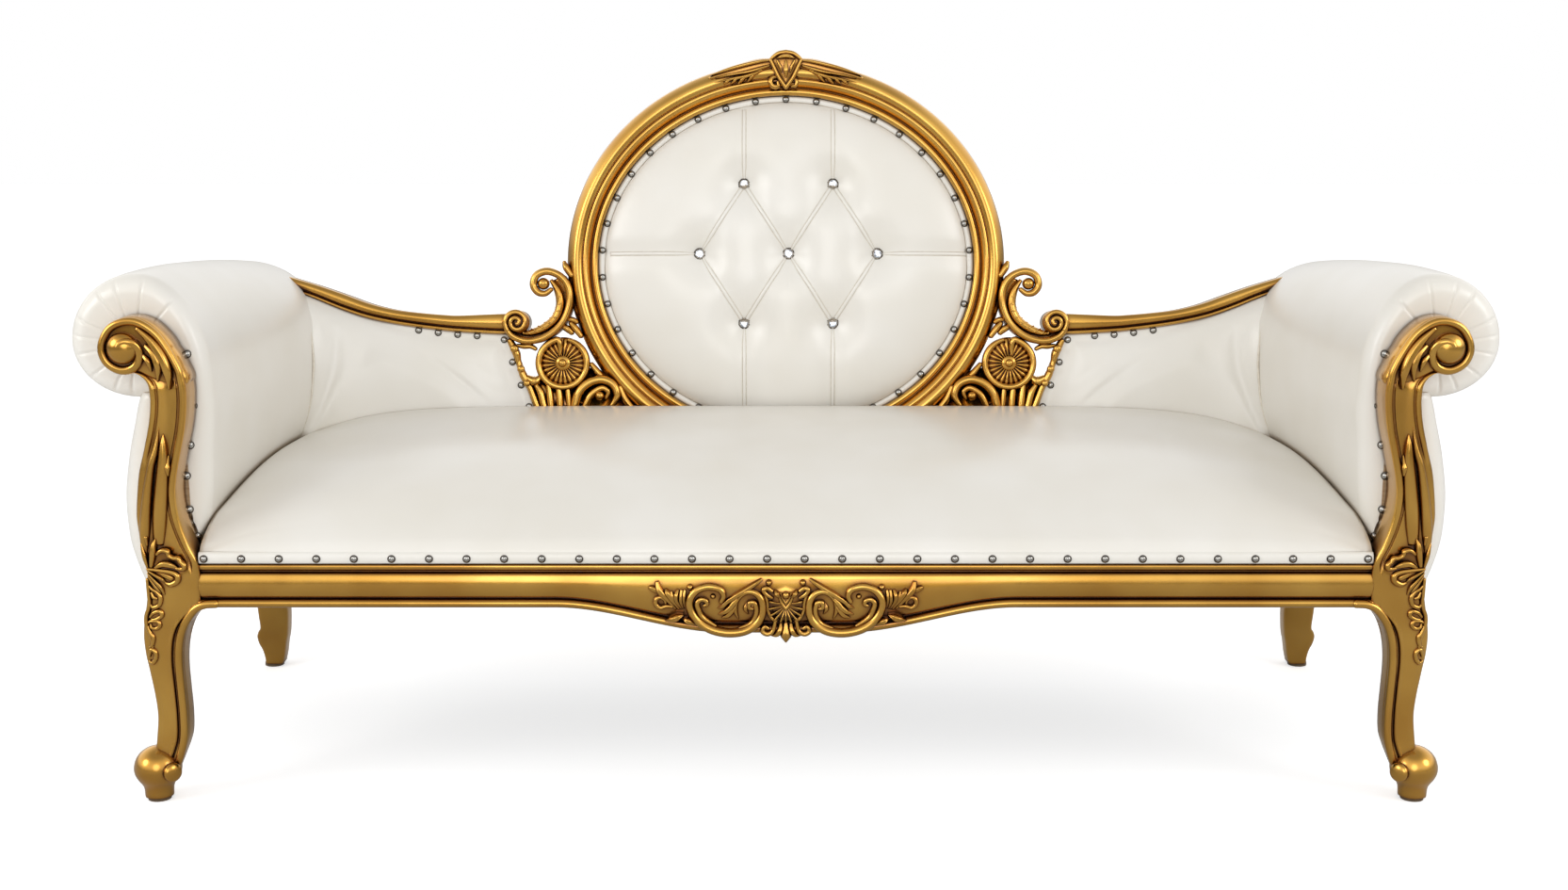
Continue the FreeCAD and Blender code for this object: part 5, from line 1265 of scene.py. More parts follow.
def rosette(shape, hub, reach):
    """A round boss with radial petals, a rolled rim that curls in at its top and a ball in its middle."""
    rows = []
    for step in range(15):
        share = 0.1 + 0.9 * step / 14
        row = []
        for k in range(240):
            angle = 2 * math.pi * k / 240
            petal = 5.0 * abs(math.sin(12 * angle)) ** 0.6 * math.sin(math.pi * min(1.0, share)) ** 0.5
            dish = -13.0 - 3.0 * math.cos(math.pi * (share - 0.55)) - petal
            across = reach * share * math.cos(angle)
            row.append((-(hub[0] + across), dish, hub[1] + reach * share * math.sin(angle)))
        rows.append(row)
    rows.append([(x, 6.0, z) for x, y, z in rows[-1]])
    shape.grid(rows, around=True, caps=True)
    rim = [(hub[0] + 4.0, hub[1] + 14, 2.4), (hub[0] + 3.5, hub[1] + 25, 4.2)]
    for k in range(37):
        angle = math.radians(80 - 9.3 * k)
        radius = 5.2 if k < 33 else 5.2 - 0.6 * (k - 32)
        rim.append((hub[0] + (reach - 3) * math.cos(angle), hub[1] + (reach - 3) * math.sin(angle), radius))
    shape.tube(rim, steps=2, level=-20, flat=1.2)
    shape.dome((-hub[0], -18, hub[1]), (0, -1, 0), 12, 5)
    shape.dome((-hub[0], -22, hub[1]), (0, -1, 0), 6.5, 6)


def rope_ribbon(shape, rows, level):
    """A leaf drawn along a scroll's inside, crossed by slanting ridges like a rope."""
    shape.leaf(rows, level, vein=0.0)
    spots = smooth(rows, 4)
    for index in range(1, len(spots) - 3, 2):
        side, z, half, height = spots[index]
        ahead = spots[index + 2]
        dx, dz = ahead[0] - side, ahead[1] - z
        length = math.hypot(dx, dz) or 1.0
        out = (-dz / length * half, dx / length * half)
        start = (side - 0.95 * out[0], z - 0.95 * out[1])
        end = (ahead[0] + 0.95 * out[0], ahead[1] + 0.95 * out[1])
        middle = ((start[0] + end[0]) / 2, (start[1] + end[1]) / 2)
        ridge = [(*start, 1.0), (*middle, 1.7), (*end, 1.0)]
        lift = [0.3 * height, 0.92 * height, 0.3 * height]
        shape.tube(ridge, steps=4, sides=8, level=level, lift=lift)


def spandrel_scroll(shape):
    """The C-scroll by the ring, with its eye, the rope inside it and the slab behind it."""
    level = SPANDREL_LEVEL
    scroll = [
        (361, 612, 3.8), (370, 606, 4.8), (381, 608, 5.6), (388, 619, 5.8), (383, 634, 6.0),
        (366, 640, 6.0), (346, 632, 5.8), (334, 614, 5.6), (333, 588, 5.6), (345, 560, 5.6),
        (369, 540, 5.6), (397, 533, 5.6), (419, 540, 5.4), (429, 551, 5.0),
    ]
    shape.tube(scroll, level=level - 4, flat=1.3, sides=14)
    shape.dome((-373, level - 1, 621), (0, -1, 0), 9.5, 9, rings=8, sides=28)
    rope = [
        (362, 627, 3, 5), (351, 611, 6.6, 9), (347, 590, 7.6, 10), (354, 569, 7.6, 10), (373, 553, 7, 9),
        (396, 545, 5, 7), (411, 547, 1, 3),
    ]
    rope_ribbon(shape, rope, level + 4)
    inner = [(360, 626), (349, 610), (347, 590), (356, 568), (375, 552), (398, 545), (420, 549)]
    outer = [(341, 634), (329, 614), (328, 587), (341, 556), (367, 535), (397, 528), (424, 535)]
    rows = []
    for (a, b), (c, d) in zip(smooth(inner, 4), smooth(outer, 4)):
        rows.append([(-a, -15.5, b), (-c, -15.5, d), (-c, 12.0, d), (-a, 12.0, b)])
    shape.grid(rows, around=True, caps=True)


def make_spandrels():
    """The pierced bracket between the ring and the wing."""
    level = SPANDREL_LEVEL
    shape = Shape()
    spandrel_scroll(shape)
    rosette(shape, (344.0, 499.0), 40.0)
    lower = [
        (326, 428, 6.5), (320, 452, 7), (305, 468, 7), (284, 474, 7), (266, 466, 6.4), (260, 449, 5.8),
        (268, 434, 4.6),
    ]
    shape.tube(lower, level=level - 3, flat=1.3)
    inner = [(311, 430, 5), (301, 450, 5.6), (284, 461, 5.4), (274, 455, 4.4), (277, 446, 3.0)]
    shape.tube(inner, level=level - 2, flat=1.2)
    shape.dome((-287, level - 4, 449), (0, -1, 0), 7, 7)
    bar = [
        (425, 533, 5), (416, 515, 6.5), (412, 499, 4.6), (405, 480, 6.2), (395, 461, 5.0), (387, 440, 5.6),
        (378, 415, 5.6), (367, 385, 5.6), (357, 356, 5.6),
    ]
    shape.tube(bar, level=level + 2, flat=1.3)
    for side, z, reach in ((418, 521, 6.5), (408, 490, 6.0), (399, 468, 5.5)):
        shape.dome((-side, level - 4, z), (0, -1, 0), reach, 5)
    stems = [
        [(414, 526, 3), (404, 525, 4.4), (394, 525, 4.2), (386, 521, 3.4)],
        [(345, 556, 4.4), (337, 552, 5.6), (330, 546, 4.4)],
        [(331, 560, 4.4), (324, 552, 5.4), (316, 541, 4.4)],
        [(338, 566, 3.4), (329, 566, 4.4), (322, 562, 3.4)],
        [(398, 476, 5), (388, 471, 8), (380, 476, 5)],
        [(386, 466, 4), (379, 455, 6.0), (374, 436, 6), (370, 420, 6)],
        [(366, 464, 5), (364, 447, 6), (362, 428, 6)],
        [(351, 463, 5), (349, 445, 6), (348, 428, 6)],
        [(337, 462, 4.4), (335, 445, 5.4), (334, 428, 5.4)],
        [(300, 497, 4), (290, 485, 5), (282, 476, 4)],
        [(330, 634, 5), (338, 646, 5.5), (341, 654, 3)],
        [(256, 462, 5), (248, 444, 5.5), (236, 428, 5.5)],
    ]
    for rows in stems:
        shape.tube(rows, steps=5, level=level + 2, flat=1.5)
    plate = [
        (366, 350.4), (372, 400), (384, 442), (396, 468), (384, 480), (372, 480), (366, 470), (345, 462),
        (322, 474), (306, 492), (288, 488), (262, 470), (236, 440), (214, 404), (196, 350.4),
    ]
    layers = [[(-side, depth, z) for side, z in plate] for depth in (-15.0, 12.0)]
    shape.grid(layers, around=True, caps=True)
    build_pair("carved_spandrel", shape.lean(), GILT_FINE, ["spandrel"])


# Tufted back

# The tufts' shift to one side, the buttons as (x, z), the half axes of the pad and of its ring of nails,
# the depth of the pad's rim and how far its crown swells
TUFT_SHIFT = 4.0
BUTTONS = [(-136, 667), (0, 667), (136, 667), (-68, 561), (-68, 773), (68, 561), (68, 773)]
PAD_AXES = (279.5, 247.0)
NAIL_AXES = (284.0, 251.5)
PAD_FLANGE = -4.5
PAD_CROWN = 44.0

# The pad's mesh, and how many nailheads its border has
PAD_RINGS = 100
PAD_SIDES = 300
TUFT_NAILS = 38


def folds():
    """Ends of the sewn folds between buttons and from the outer buttons to the rim, as (x, z)."""
    left, middle, right, low_left, high_left, low_right, high_right = BUTTONS
    pairs = [
        (left, low_left), (left, high_left), (middle, low_left), (middle, high_left), (middle, low_right),
        (middle, high_right), (right, low_right), (right, high_right),
    ]
    outward = [
        (left, (-1, 0)), (right, (1, 0)), (low_left, (0, -1)), (low_right, (0, -1)), (high_left, (0, 1)),
        (high_right, (0, 1)),
    ]
    for button, toward in outward:
        x, z = button
        while math.hypot(x / PAD_AXES[0], (z - RING_MIDDLE) / PAD_AXES[1]) < 0.985:
            x += toward[0]
            z += toward[1]
        pairs.append((button, (x, z)))
    return [((a[0] + TUFT_SHIFT, a[1]), (b[0] + TUFT_SHIFT, b[1])) for a, b in pairs]


FOLDS = folds()


def segment_distance(x, z, a, b):
    """Distance from a point to a straight run."""
    dx, dz = b[0] - a[0], b[1] - a[1]
    t = ((x - a[0]) * dx + (z - a[1]) * dz) / (dx * dx + dz * dz)
    t = min(max(t, 0.0), 1.0)
    return math.hypot(x - a[0] - dx * t, z - a[1] - dz * t)


def pad_depth(x, z):
    """Depth of the tufted pad's face: a crown drawn in at the buttons and along the folds."""
    reach = min(1.0, math.hypot(x / PAD_AXES[0], (z - RING_MIDDLE) / PAD_AXES[1]))
    crown = PAD_CROWN * math.sqrt(max(0.0, 1 - reach**2)) ** 1.15
    dip = 0.0
    for bx, bz in BUTTONS:
        gap = math.hypot(x - bx - TUFT_SHIFT, z - bz)
        dip += 19.0 * math.exp(-((gap / 38.0) ** 2)) + 5.0 * math.exp(-((gap / 12.0) ** 2))
    fold = min(segment_distance(x, z, a, b) for a, b in FOLDS)
    dip += 4.0 * math.exp(-((fold / 17.0) ** 2))
    return PAD_FLANGE - crown + min(dip, 0.8 * crown + 1.0)


def fold_strap(shape, seams, a, b):
    """A sewn fold from a to b: a low rounded strap between two stitched edges."""
    length = math.hypot(b[0] - a[0], b[1] - a[1])
    nx, nz = -(b[1] - a[1]) / length, (b[0] - a[0]) / length
    rows = []
    edges = ([], [])
    section = ((-1.0, -0.2), (-0.7, 0.9), (-0.3, 1.4), (0.3, 1.4), (0.7, 0.9), (1.0, -0.2), (0.0, -1.5))
    count = 40
    for k in range(count + 1):
        t = 0.055 + 0.945 * k / count
        half = 2.9 * min(1.0, 0.35 + 2.5 * t)
        x, z = a[0] + (b[0] - a[0]) * t, a[1] + (b[1] - a[1]) * t
        loop = []
        for share, rise in section:
            px, pz = x + nx * half * share, z + nz * half * share
            loop.append((px, pad_depth(px, pz) - rise, pz))
        rows.append(loop)
        for edge, share in zip(edges, (-1.05, 1.05)):
            edge.append((x + nx * half * share, z + nz * half * share))
    shape.grid(rows, around=True, caps=True)
    for edge in edges:
        lift = [0.2 - pad_depth(x, z) for x, z in edge]
        seams.tube([(-x, z, 0.5) for x, z in edge], steps=1, sides=6, lift=lift)


def make_tufted_pad():
    """The padded face, drawn in at its buttons and folds."""
    shape = Shape()
    rows = []
    for step in range(PAD_RINGS):
        share = max(0.002, math.sin(math.pi / 2 * step / (PAD_RINGS - 1)))
        row = []
        for k in range(PAD_SIDES):
            angle = 2 * math.pi * k / PAD_SIDES
            x = PAD_AXES[0] * share * math.cos(angle)
            z = RING_MIDDLE + PAD_AXES[1] * share * math.sin(angle)
            row.append((x, pad_depth(x, z), z))
        rows.append(row)
    rows.append([(x, 6.0, z) for x, y, z in rows[-1]])
    shape.grid(rows, around=True, caps=True)
    pad = build("tufted_pad", shape.lean(), LEATHER)
    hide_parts("medallion_pad")


def make_tuft_border():
    """The leather border round the pad, with its nailheads."""
    border = Shape()
    rows = []
    section = ((0.2, 4.0), (0.2, -4.5), (1.2, -6.2), (5.0, -7.0), (8.5, -6.2), (10.2, -4.5), (10.6, 2.0))
    for shrink, y in section:
        rows.append([oval(1.0, 2 * math.pi * k / 200, y, shrink) for k in range(200)])
    border.grid(rows, around=True, ring=True)
    piece = build("tuft_border", border.lean(), LEATHER)
    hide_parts("medallion_border")
    spots = []
    for index in range(TUFT_NAILS):
        angle = 2 * math.pi * (index + 0.5) / TUFT_NAILS
        place = (NAIL_AXES[0] * math.cos(angle), -6.6, RING_MIDDLE + NAIL_AXES[1] * math.sin(angle))
        spots.append((place, (0, -1, 0)))
    nails, rims = nail_heads(spots)
    piece = build("tuft_nails", nails.lean(), NAIL)
    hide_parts("medallion_nails")
    build("tuft_nail_shade_rims", rims.lean(), RIM)


def make_buttons():
    """Cut-glass stones on foil in dark prong settings, one at each tuft."""
    crown = ((7.7, 1.4, 0.0), (7.8, 3.0, 0.0), (6.0, 5.4, 0.5), (3.2, 6.6, 0.0), (0.05, 6.7, 0.0))
    cups = Shape()
    foils = Shape()
    stones = Shape()
    for bx, bz in BUTTONS:
        x = bx + TUFT_SHIFT
        y = pad_depth(x, bz) - 0.6
        ring = []
        for reach, depth in ((9.4, 0.0), (9.4, 2.2), (8.8, 3.0), (8.1, 2.6), (7.9, 0.0)):
            row = []
            for k in range(28):
                angle = math.pi * k / 14
                row.append((x + reach * math.cos(angle), y - depth, bz + reach * math.sin(angle)))
            ring.append(row)
        cups.grid(ring, around=True, ring=True)
        for k in range(8):
            angle = 2 * math.pi * (k + 0.5) / 8
            spot = (x + 8.5 * math.cos(angle), y - 2.6, bz + 8.5 * math.sin(angle))
            facing = (-0.35 * math.cos(angle), -1, -0.35 * math.sin(angle))
            cups.dome(spot, facing, 1.0, 1.5, rings=3, sides=8)
        foils.dome((x, y, bz), (0, -1, 0), 8.0, 0.5, rings=3, sides=24, rim=0.6)
        rows = []
        for reach, depth, turn in crown:
            row = []
            for k in range(8):
                angle = 2 * math.pi * (k + turn) / 8
                row.append((x + reach * math.cos(angle), y - depth, bz + reach * math.sin(angle)))
            rows.append(row)
        stones.grid(rows, around=True, caps=True)
    piece = build("button_cups", cups.lean(), RIM)
    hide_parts("button_settings")
    build("button_foils", foils.lean(), FOIL)
    piece = build("button_glass", stones.lean(), CRYSTAL, smooth_faces=False)
    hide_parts("button_stones")


def make_rear_panel():
    """The padded panel on the oval's rear."""
    rear = Shape()
    rows = []
    for shrink, y in ((252.0, 24.6), (130.0, 24.4), (40.0, 23.6), (6.0, 22.5), (1.0, 20.0), (1.0, 17.2)):
        rows.append([oval(0.9, 2 * math.pi * k / 120, y, shrink) for k in range(120)])
    rear.grid(rows, around=True, caps=True)
    piece = build("rear_panel", rear.lean(), LEATHER)
    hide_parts("medallion_back_panel")


def make_medallion_pad():
    """The tufted back: pad with folds, nailed border, buttons and the plain panel behind."""
    make_tufted_pad()
    straps = Shape()
    seams = Shape()
    for a, b in FOLDS:
        fold_strap(straps, seams, a, b)
    build("tuft_folds", straps.lean(), LEATHER)
    build("tuft_stitching", seams.lean(), SEAM)
    make_tuft_border()
    make_buttons()
    make_rear_panel()


# Wings

# Height where the back's leather meets the seat, and the arm's seam as (height, side)
SEAT_LINE = 351.0
ARM_SEAM = [
    (345, 760), (380, 747), (402, 737), (433, 727), (468, 722), (507, 720), (550, 725), (581, 734),
    (612, 751), (630, 766), (640, 776),
]


def bar_side(z):
    """Distance from the middle of the wing's slanting inner edge, at a height."""
    return 431.0 + (z - 550.5) * 0.366


def wing_top(side):
    """Height of the wing's upper edge under its rail."""
    side = min(max(side, WING_LINE[0][0]), WING_LINE[-1][0])
    for (s0, z0, h0), (s1, z1, h1) in zip(WING_LINE, WING_LINE[1:]):
        if side <= s1:
            t = (side - s0) / (s1 - s0)
            return z0 + (z1 - z0) * t - h0 - (h1 - h0) * t
    return WING_LINE[-1][1] - WING_LINE[-1][2]


def seam_side(z):
    """Distance from the middle of the wing's outer edge, just inside the arm."""
    return along(ARM_SEAM, z) + 5.0


def wing_held(place):
    """Whether a place on a wing is on its nailed border, its rear or the seam of the arm."""
    x, y, z = place
    side = abs(x)
    rear = y - BACK_Y - (z - RAIL_TOP) * math.tan(BACK_LEAN) > -10.0
    border = min(side - bar_side(z) - 18.0, wing_top(side) + 1.0 - z - 13.0)
    seam = min(seam_side(z) - side - 4.0, z - SEAT_LINE - 4.0)
    return rear or min(border, seam) < 0


def make_wings():
    """The padded wings, which swell from a flat nailed border and turn forward into the arms."""
    shape = Shape()
    rows = []
    for line in patch(bar_side, seam_side, SEAT_LINE, lambda side: wing_top(side) + 1.0, 70, 44):
        row = []
        for side, z in line:
            top = wing_top(side) + 1.0
            strip = 11.0 * (1 - ease(560, 660, side))
            edge = min(side - bar_side(z) - 16.0, top - z - strip)
            swell = 17.5 * (1 - math.exp(-max(edge, 0.0) / 26.0))
            turn = 24.0 * math.exp(-max(seam_side(z) - side, 0.0) / 34.0) * ease(0, 30, top - z + 10)
            row.append((-side, -16.5 - swell - turn, z))
        rows.append(row)
    panel(shape, rows, lambda point: (point[0], -8.3, point[2]))
    for piece in build_pair("wing_leather", shape.lean(), LEATHER, ["wing_pad"]):
        puff(piece, wing_held, WING_GIVE)
    places = [(bar_side(z) + 9.0, z) for z in (535, 500.5, 465, 432)]
    places += [(side, wing_top(side) - 4.0) for side in (476, 506, 536, 566)]
    nails, rims = nail_heads([((-side, -16.6, z), (0, -1, 0)) for side, z in places])
    build_pair("wing_nailheads", nails.lean(), NAIL, ["wing_nails"])
    build_pair("wing_nail_shade_rims", rims.lean(), RIM, [])


def make_outside_backs():
    """The leather panels behind the wings and arms."""
    shape = Shape()
    lines = patch(bar_side, lambda z: 838.0, SEAT_LINE, lambda side: wing_top(side) + 16.0, 40, 20)
    rows = []
    for i, line in enumerate(lines):
        row = []
        for j, (side, z) in enumerate(line):
            edge = min(i / 40, 1 - i / 40, j / 20, 1 - j / 20)
            row.append((-side, 25.0 + 5.5 * ease(0.0, 0.12, edge), z))
        rows.append(row)
    panel(shape, rows, lambda point: (point[0], 23.4, point[2]))
    for piece in build_pair("outside_back_leather", shape.lean(), LEATHER, ["outside_back"]):
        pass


# Arms

# The arm's inside face in front and at the rear, as (height, side), its top, as (depth, height), its lowest
# height and the height where its roll begins
ARM_FRONT = [(345, 770), (375, 760), (422, 754), (463, 751), (512, 746), (546, 747)]
ARM_REAR = [(345, 760), (380, 747), (402, 737), (433, 727), (468, 722), (507, 720), (546, 721)]
ARM_TOP = [(-258, 689), (-200, 690), (-100, 687), (0, 679), (100, 669), (200, 657), (280, 647)]
ARM_LOW = 345.5
ROLL_LOW = 545

# Where the arm's padding starts, how deep its turn is, and its pleats' places in degrees and their depth
ARM_START = POST_BACK + 0.5
ARM_TURN = 26.0
PLEATS = (48, 81, 107, 125, 156, 172, 190, 215, 242, 262, 279)
PLEAT_DEPTH = 2.0


def arm_inside(y, z):
    """Distance from the middle of the arm's inside face, at a depth and a height below the roll."""
    share = min(max((y + 232) / 397.0, 0.0), 1.0)
    face = along(ARM_FRONT, z) + (along(ARM_REAR, z) - along(ARM_FRONT, z)) * share
    turn = min(max((y - ARM_START) / ARM_TURN, 0.0), 1.0)
    flank = max(along(POST_INNER, z), face)
    return face + (flank - face) * (1 - math.sqrt(1 - (1 - turn) ** 2))


def arm_loop(y):
    """One upright loop of the arm's padding: inside face, roll and underside."""
    turn = min(max((y - ARM_START) / ARM_TURN, 0.0), 1.0)
    rounding = 0.9 * ARM_TURN * (1 - math.sqrt(1 - (1 - turn) ** 2))
    share = min(max((y - POST_BACK) / (BACK_Y - POST_BACK), 0.0), 1.0)
    loop = []
    for k in range(24):
        z = ARM_LOW + (ROLL_LOW - ARM_LOW) * k / 24
        loop.append((-arm_inside(y, z), y, z))
    reach = ROLL_SIDE - arm_inside(y, ROLL_LOW)
    height = along(ARM_TOP, y) - rounding - ROLL_LOW
    for k in range(91):
        angle = math.pi / 2 * k / 90
        loop.append((-(ROLL_SIDE - reach * math.cos(angle)), y, ROLL_LOW + height * math.sin(angle)))
    top = along(ARM_TOP, y) - rounding - ROLL_HEIGHT
    outer = 89.0 - 6.0 * share - rounding
    for k in range(1, 81):
        angle = math.pi / 2 * k / 80
        loop.append((-(ROLL_SIDE + outer * math.sin(angle)), y, ROLL_HEIGHT + top * math.cos(angle)))
    under = 74.0 - 10.0 * share - rounding
    for k in range(1, 61):
        angle = math.pi / 2 * k / 60
        side = ROLL_SIDE + 4 + (outer - 4) * math.cos(angle)
        loop.append((-side, y, ROLL_HEIGHT - under * math.sin(angle)))
    low = ROLL_HEIGHT - under
    loop += [(-815, y, low), (-786, y, low), (-786, y, 440), (-786, y, ARM_LOW)]
    return loop


def pleated(point, depth):
    """A point of the arm's rounded front, drawn in along the pleats that run out from the scroll."""
    x, y, z = point
    dx, dz = -x - SCROLL[0], z - SCROLL[1]
    angle = math.degrees(math.atan2(dz, -dx)) % 360
    reach = math.hypot(dx, dz)
    if reach < 1 or z < 520:
        return point
    sink = 0.0
    for place in PLEATS:
        gap = (angle - place + 180) % 360 - 180
        sink += math.exp(-((gap * reach / 57.3 / 1.7) ** 2))
    sink *= depth
    return (x + dx / reach * sink, y + 0.8 * sink, z - dz / reach * sink)


def arm_rows():
    """Upright loops of the arm's padding, from behind the scroll over its pleated turn to the rear."""
    rows = []
    start = arm_loop(ARM_START)
    for share in (0.45, 0.55, 0.65, 0.75, 0.84, 0.92):
        row = []
        for x, y, z in start:
            across = -SCROLL[0] + (x + SCROLL[0]) * share
            spot = (across, y + 1.0 - share, SCROLL[1] + (z - SCROLL[1]) * share)
            row.append(pleated(spot, PLEAT_DEPTH))
        rows.append(row)
    for k in range(19):
        angle = math.pi / 2 * k / 18
        y = ARM_START + ARM_TURN * (1 - math.cos(angle))
        fade = PLEAT_DEPTH * (1 - ease(2, 13, k))
        rows.append([pleated(point, fade) for point in arm_loop(y)])
    for k in range(1, 56):
        t = (k / 55) ** 1.3
        y = ARM_START + ARM_TURN + (BACK_Y + 18 - ARM_START - ARM_TURN) * t
        row = []
        for x, depth, z in arm_loop(y):
            rake = (z - RAIL_TOP) * math.tan(BACK_LEAN) * ease(0.1, 1.0, t)
            row.append((x, depth + rake, z))
        rows.append(row)
    return rows


def make_outside_arms():
    """Padded panels on the arms' outer sides, which turn in behind the posts."""
    swell = [
        (262, 848), (300, 864), (332, 873), (374, 876), (402, 875), (430, 871), (461, 865), (492, 857),
        (519, 850), (536, 844),
    ]
    shape = Shape()
    front = POST_BACK + 1
    low, high = 260.5, 536
    core = 815
    rows = []
    for k in range(41):
        t = k / 40
        row = []
        for j in range(31):
            z = low + (high - low) * j / 30
            y = front + (BACK_Y + 20 + (z - RAIL_TOP) * math.tan(BACK_LEAN) - front) * t**1.3
            round_in = math.sqrt(1 - (1 - min(1.0, (y - front) / 40)) ** 2)
            reach = (along(swell, z) - core) * (0.45 + 0.55 * round_in)
            row.append((-(core + reach - 14 * ease(0.6, 1.0, t)), y, z))
        rows.append(row)
    back = [[(-812.0 - 24.0 * min(1.0, k / 6), y, z) for x, y, z in row] for k, row in enumerate(rows)]
    shape.grid(rows)
    shape.grid(back)
    for index in (0, -1):
        shape.grid([rows[index], back[index]])
    for index in (0, -1):
        shape.grid([[row[index] for row in rows], [row[index] for row in back]])
    for piece in build_pair("outside_arm_leather", shape, LEATHER, ["outside_arm"]):
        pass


def make_arms():
    """The rolled arms with the welt of their seam, their outside panels and nailheads."""
    shape = Shape()
    shape.grid(arm_rows(), around=True, caps=True)
    for piece in build_pair("arm_leather", shape, LEATHER, ["arm_pad"]):
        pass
    welt = Shape()
    line = [(side - 1.5, z, 1.7) for z, side in ARM_SEAM if 370 < z < 620]
    welt.tube(line, sides=10, level=-59.0)
    build_pair("arm_welt", welt.lean(), SEAM, [])
    make_outside_arms()
    spots = []
    for side, z in ((776, 588), (772, 520), (779, 468), (786, 427), (785, 382), (777, 346)):
        spots.append(((-(side - 3), POST_BACK - 1.5, z), (0.55, -0.83, 0)))
    nails, rims = nail_heads(spots)
    build_pair("arm_nailheads", nails, NAIL, ["arm_nails"])
    build_pair("arm_nail_shade_rims", rims, RIM, [])


# Seat

# The seat: its front edge and rear, the height of its base and of its front edge, how far its crown rises,
# and, along its depth, the share of the rise
SEAT_FRONT = RAIL_FRONT + 1.0
SEAT_REAR = 186
SEAT_BASE = 327.0
SEAT_EDGE = 334.0
SEAT_CROWN = 110.0
SEAT_RISE = [
    (0.0, 0.0), (0.012, 0.10), (0.04, 0.24), (0.09, 0.40), (0.2, 0.64), (0.42, 0.89), (0.68, 1.0),
    (1.0, 0.94),
]
SEAT_CREASE = [(380, -262), (520, -263), (640, -268), (710, -277), (757, -294)]
SEAT_ARM_LINE = [(-262, 346), (-159, 383), (-16, 389), (145, 394), (190, 400)]

# How many nailheads the seat's band has
SEAT_NAILS = 32

# Half width, front and rear of the burlap and of the dust cover, with the half width and front of the
# cover's narrow rear part
BURLAP_SIZE = (762.7, -298.7, 204.8)
DUST_COVER_SIZE = (836.0, -258.0, 238.8, 796.0, 148.5)


def seat_half(y):
    """Half the seat's width at a depth."""
    if y < POST_BACK - 3:
        return RAIL_END - 1.0
    edge = along(SEAT_ARM_LINE, y)
    return min(RAIL_END, arm_inside(max(y, ARM_START), edge)) - 1.0


def seat_height(x, y):
    """Height of the crowned seat at a place, with the soft creases that run in from its front corners."""
    rear = 190.0
    t = min(max((y - SEAT_FRONT) / (rear - SEAT_FRONT), 0.0), 1.0)
    rise = along(SEAT_RISE, t)
    inset = max(0.0, seat_half(y) - abs(x))
    fall = (6 + 38 * rise) * math.exp(-((inset / 95.0) ** 1.15))
    lip = 6 * rise * math.exp(-inset / 6.0)
    line = along(SEAT_CREASE, abs(x))
    crease = 2.4 * math.exp(-(((y - line) / 5.0) ** 2)) * ease(340, 560, abs(x))
    return SEAT_EDGE + SEAT_CROWN * rise - fall - lip - crease


def seat_held(place):
    """Whether a place on the seat is on its base or drawn down at its edges."""
    x, y, z = place
    return z < 336 or abs(x) > seat_half(min(y, 180.0)) - 14 or y < RAIL_FRONT + 12 or y > 196


def make_seat_border():
    """The leather band along the seat's front, with its nailheads."""
    section = (
        (-297, 319.4), (-301.5, 319.6), (-303.5, 321), (-304.2, 326), (-303.5, 331.5), (-301, 334.5),
        (-296, 335),
    )
    border = Shape()
    rows = []
    reach = RAIL_END - 2
    for k in range(161):
        x = -reach + 2 * reach * k / 160
        rows.append([(x, y, z) for y, z in section])
    border.grid(rows, around=True, caps=True)
    piece = build("seat_band", border, LEATHER)
    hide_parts("seat_border")
    span = 2 * (reach - 7)
    spots = []
    for index in range(SEAT_NAILS):
        x = (index / (SEAT_NAILS - 1) - 0.5) * span
        spots.append(((x, -303.8, 326.5), (0, -1, 0)))
    nails, rims = nail_heads(spots)
    piece = build("seat_nailheads", nails, NAIL)
    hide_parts("seat_nails")
    build("seat_nail_shade_rims", rims, RIM)


def dust_point(x, y):
    """A point of the dust cover, which sags between the rails."""
    half, front, rear = DUST_COVER_SIZE[:3]
    sag = 5.0 * max(0.0, 1 - (x / half) ** 4) * math.sin(math.pi * (y - front) / (rear - front))
    return (x, y, 259.5 - sag)


def make_seat_cloths():
    """The burlap stretched over the springs and the dust cover under the frame, which sags a little."""
    burlap = Shape()
    half, front, rear = BURLAP_SIZE
    rows = []
    for i in range(77):
        x = -half + 2 * half * i / 76
        wave = 0.5 * math.cos(2 * math.pi * 9 * i / 76)
        row = []
        for j in range(26):
            y = front + (rear - front) * j / 25
            row.append((x, y, 325.3 + wave * math.sin(math.pi * j / 25)))
        rows.append(row)
    burlap.grid(rows)
    piece = build("burlap_cloth", burlap, BURLAP)
    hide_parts("seat_burlap")
    cover = Shape()
    half, front, rear, notch_side, notch = DUST_COVER_SIZE
    columns = [-half + (half - notch_side) * i / 4 for i in range(4)]
    columns += [-notch_side + 2 * notch_side * i / 60 for i in range(61)]
    columns += [notch_side + (half - notch_side) * i / 4 for i in range(1, 5)]
    depths = [front + (notch - front) * j / 18 for j in range(19)]
    tail = [notch + (rear - notch) * j / 4 for j in range(1, 5)]
    cover.grid([[dust_point(x, y) for y in depths] for x in columns])
    cover.grid([[dust_point(x, y) for y in [notch] + tail] for x in columns[4:65]])
    piece = build("dust_cloth", cover, DUST_CLOTH)
    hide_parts("dust_cover")


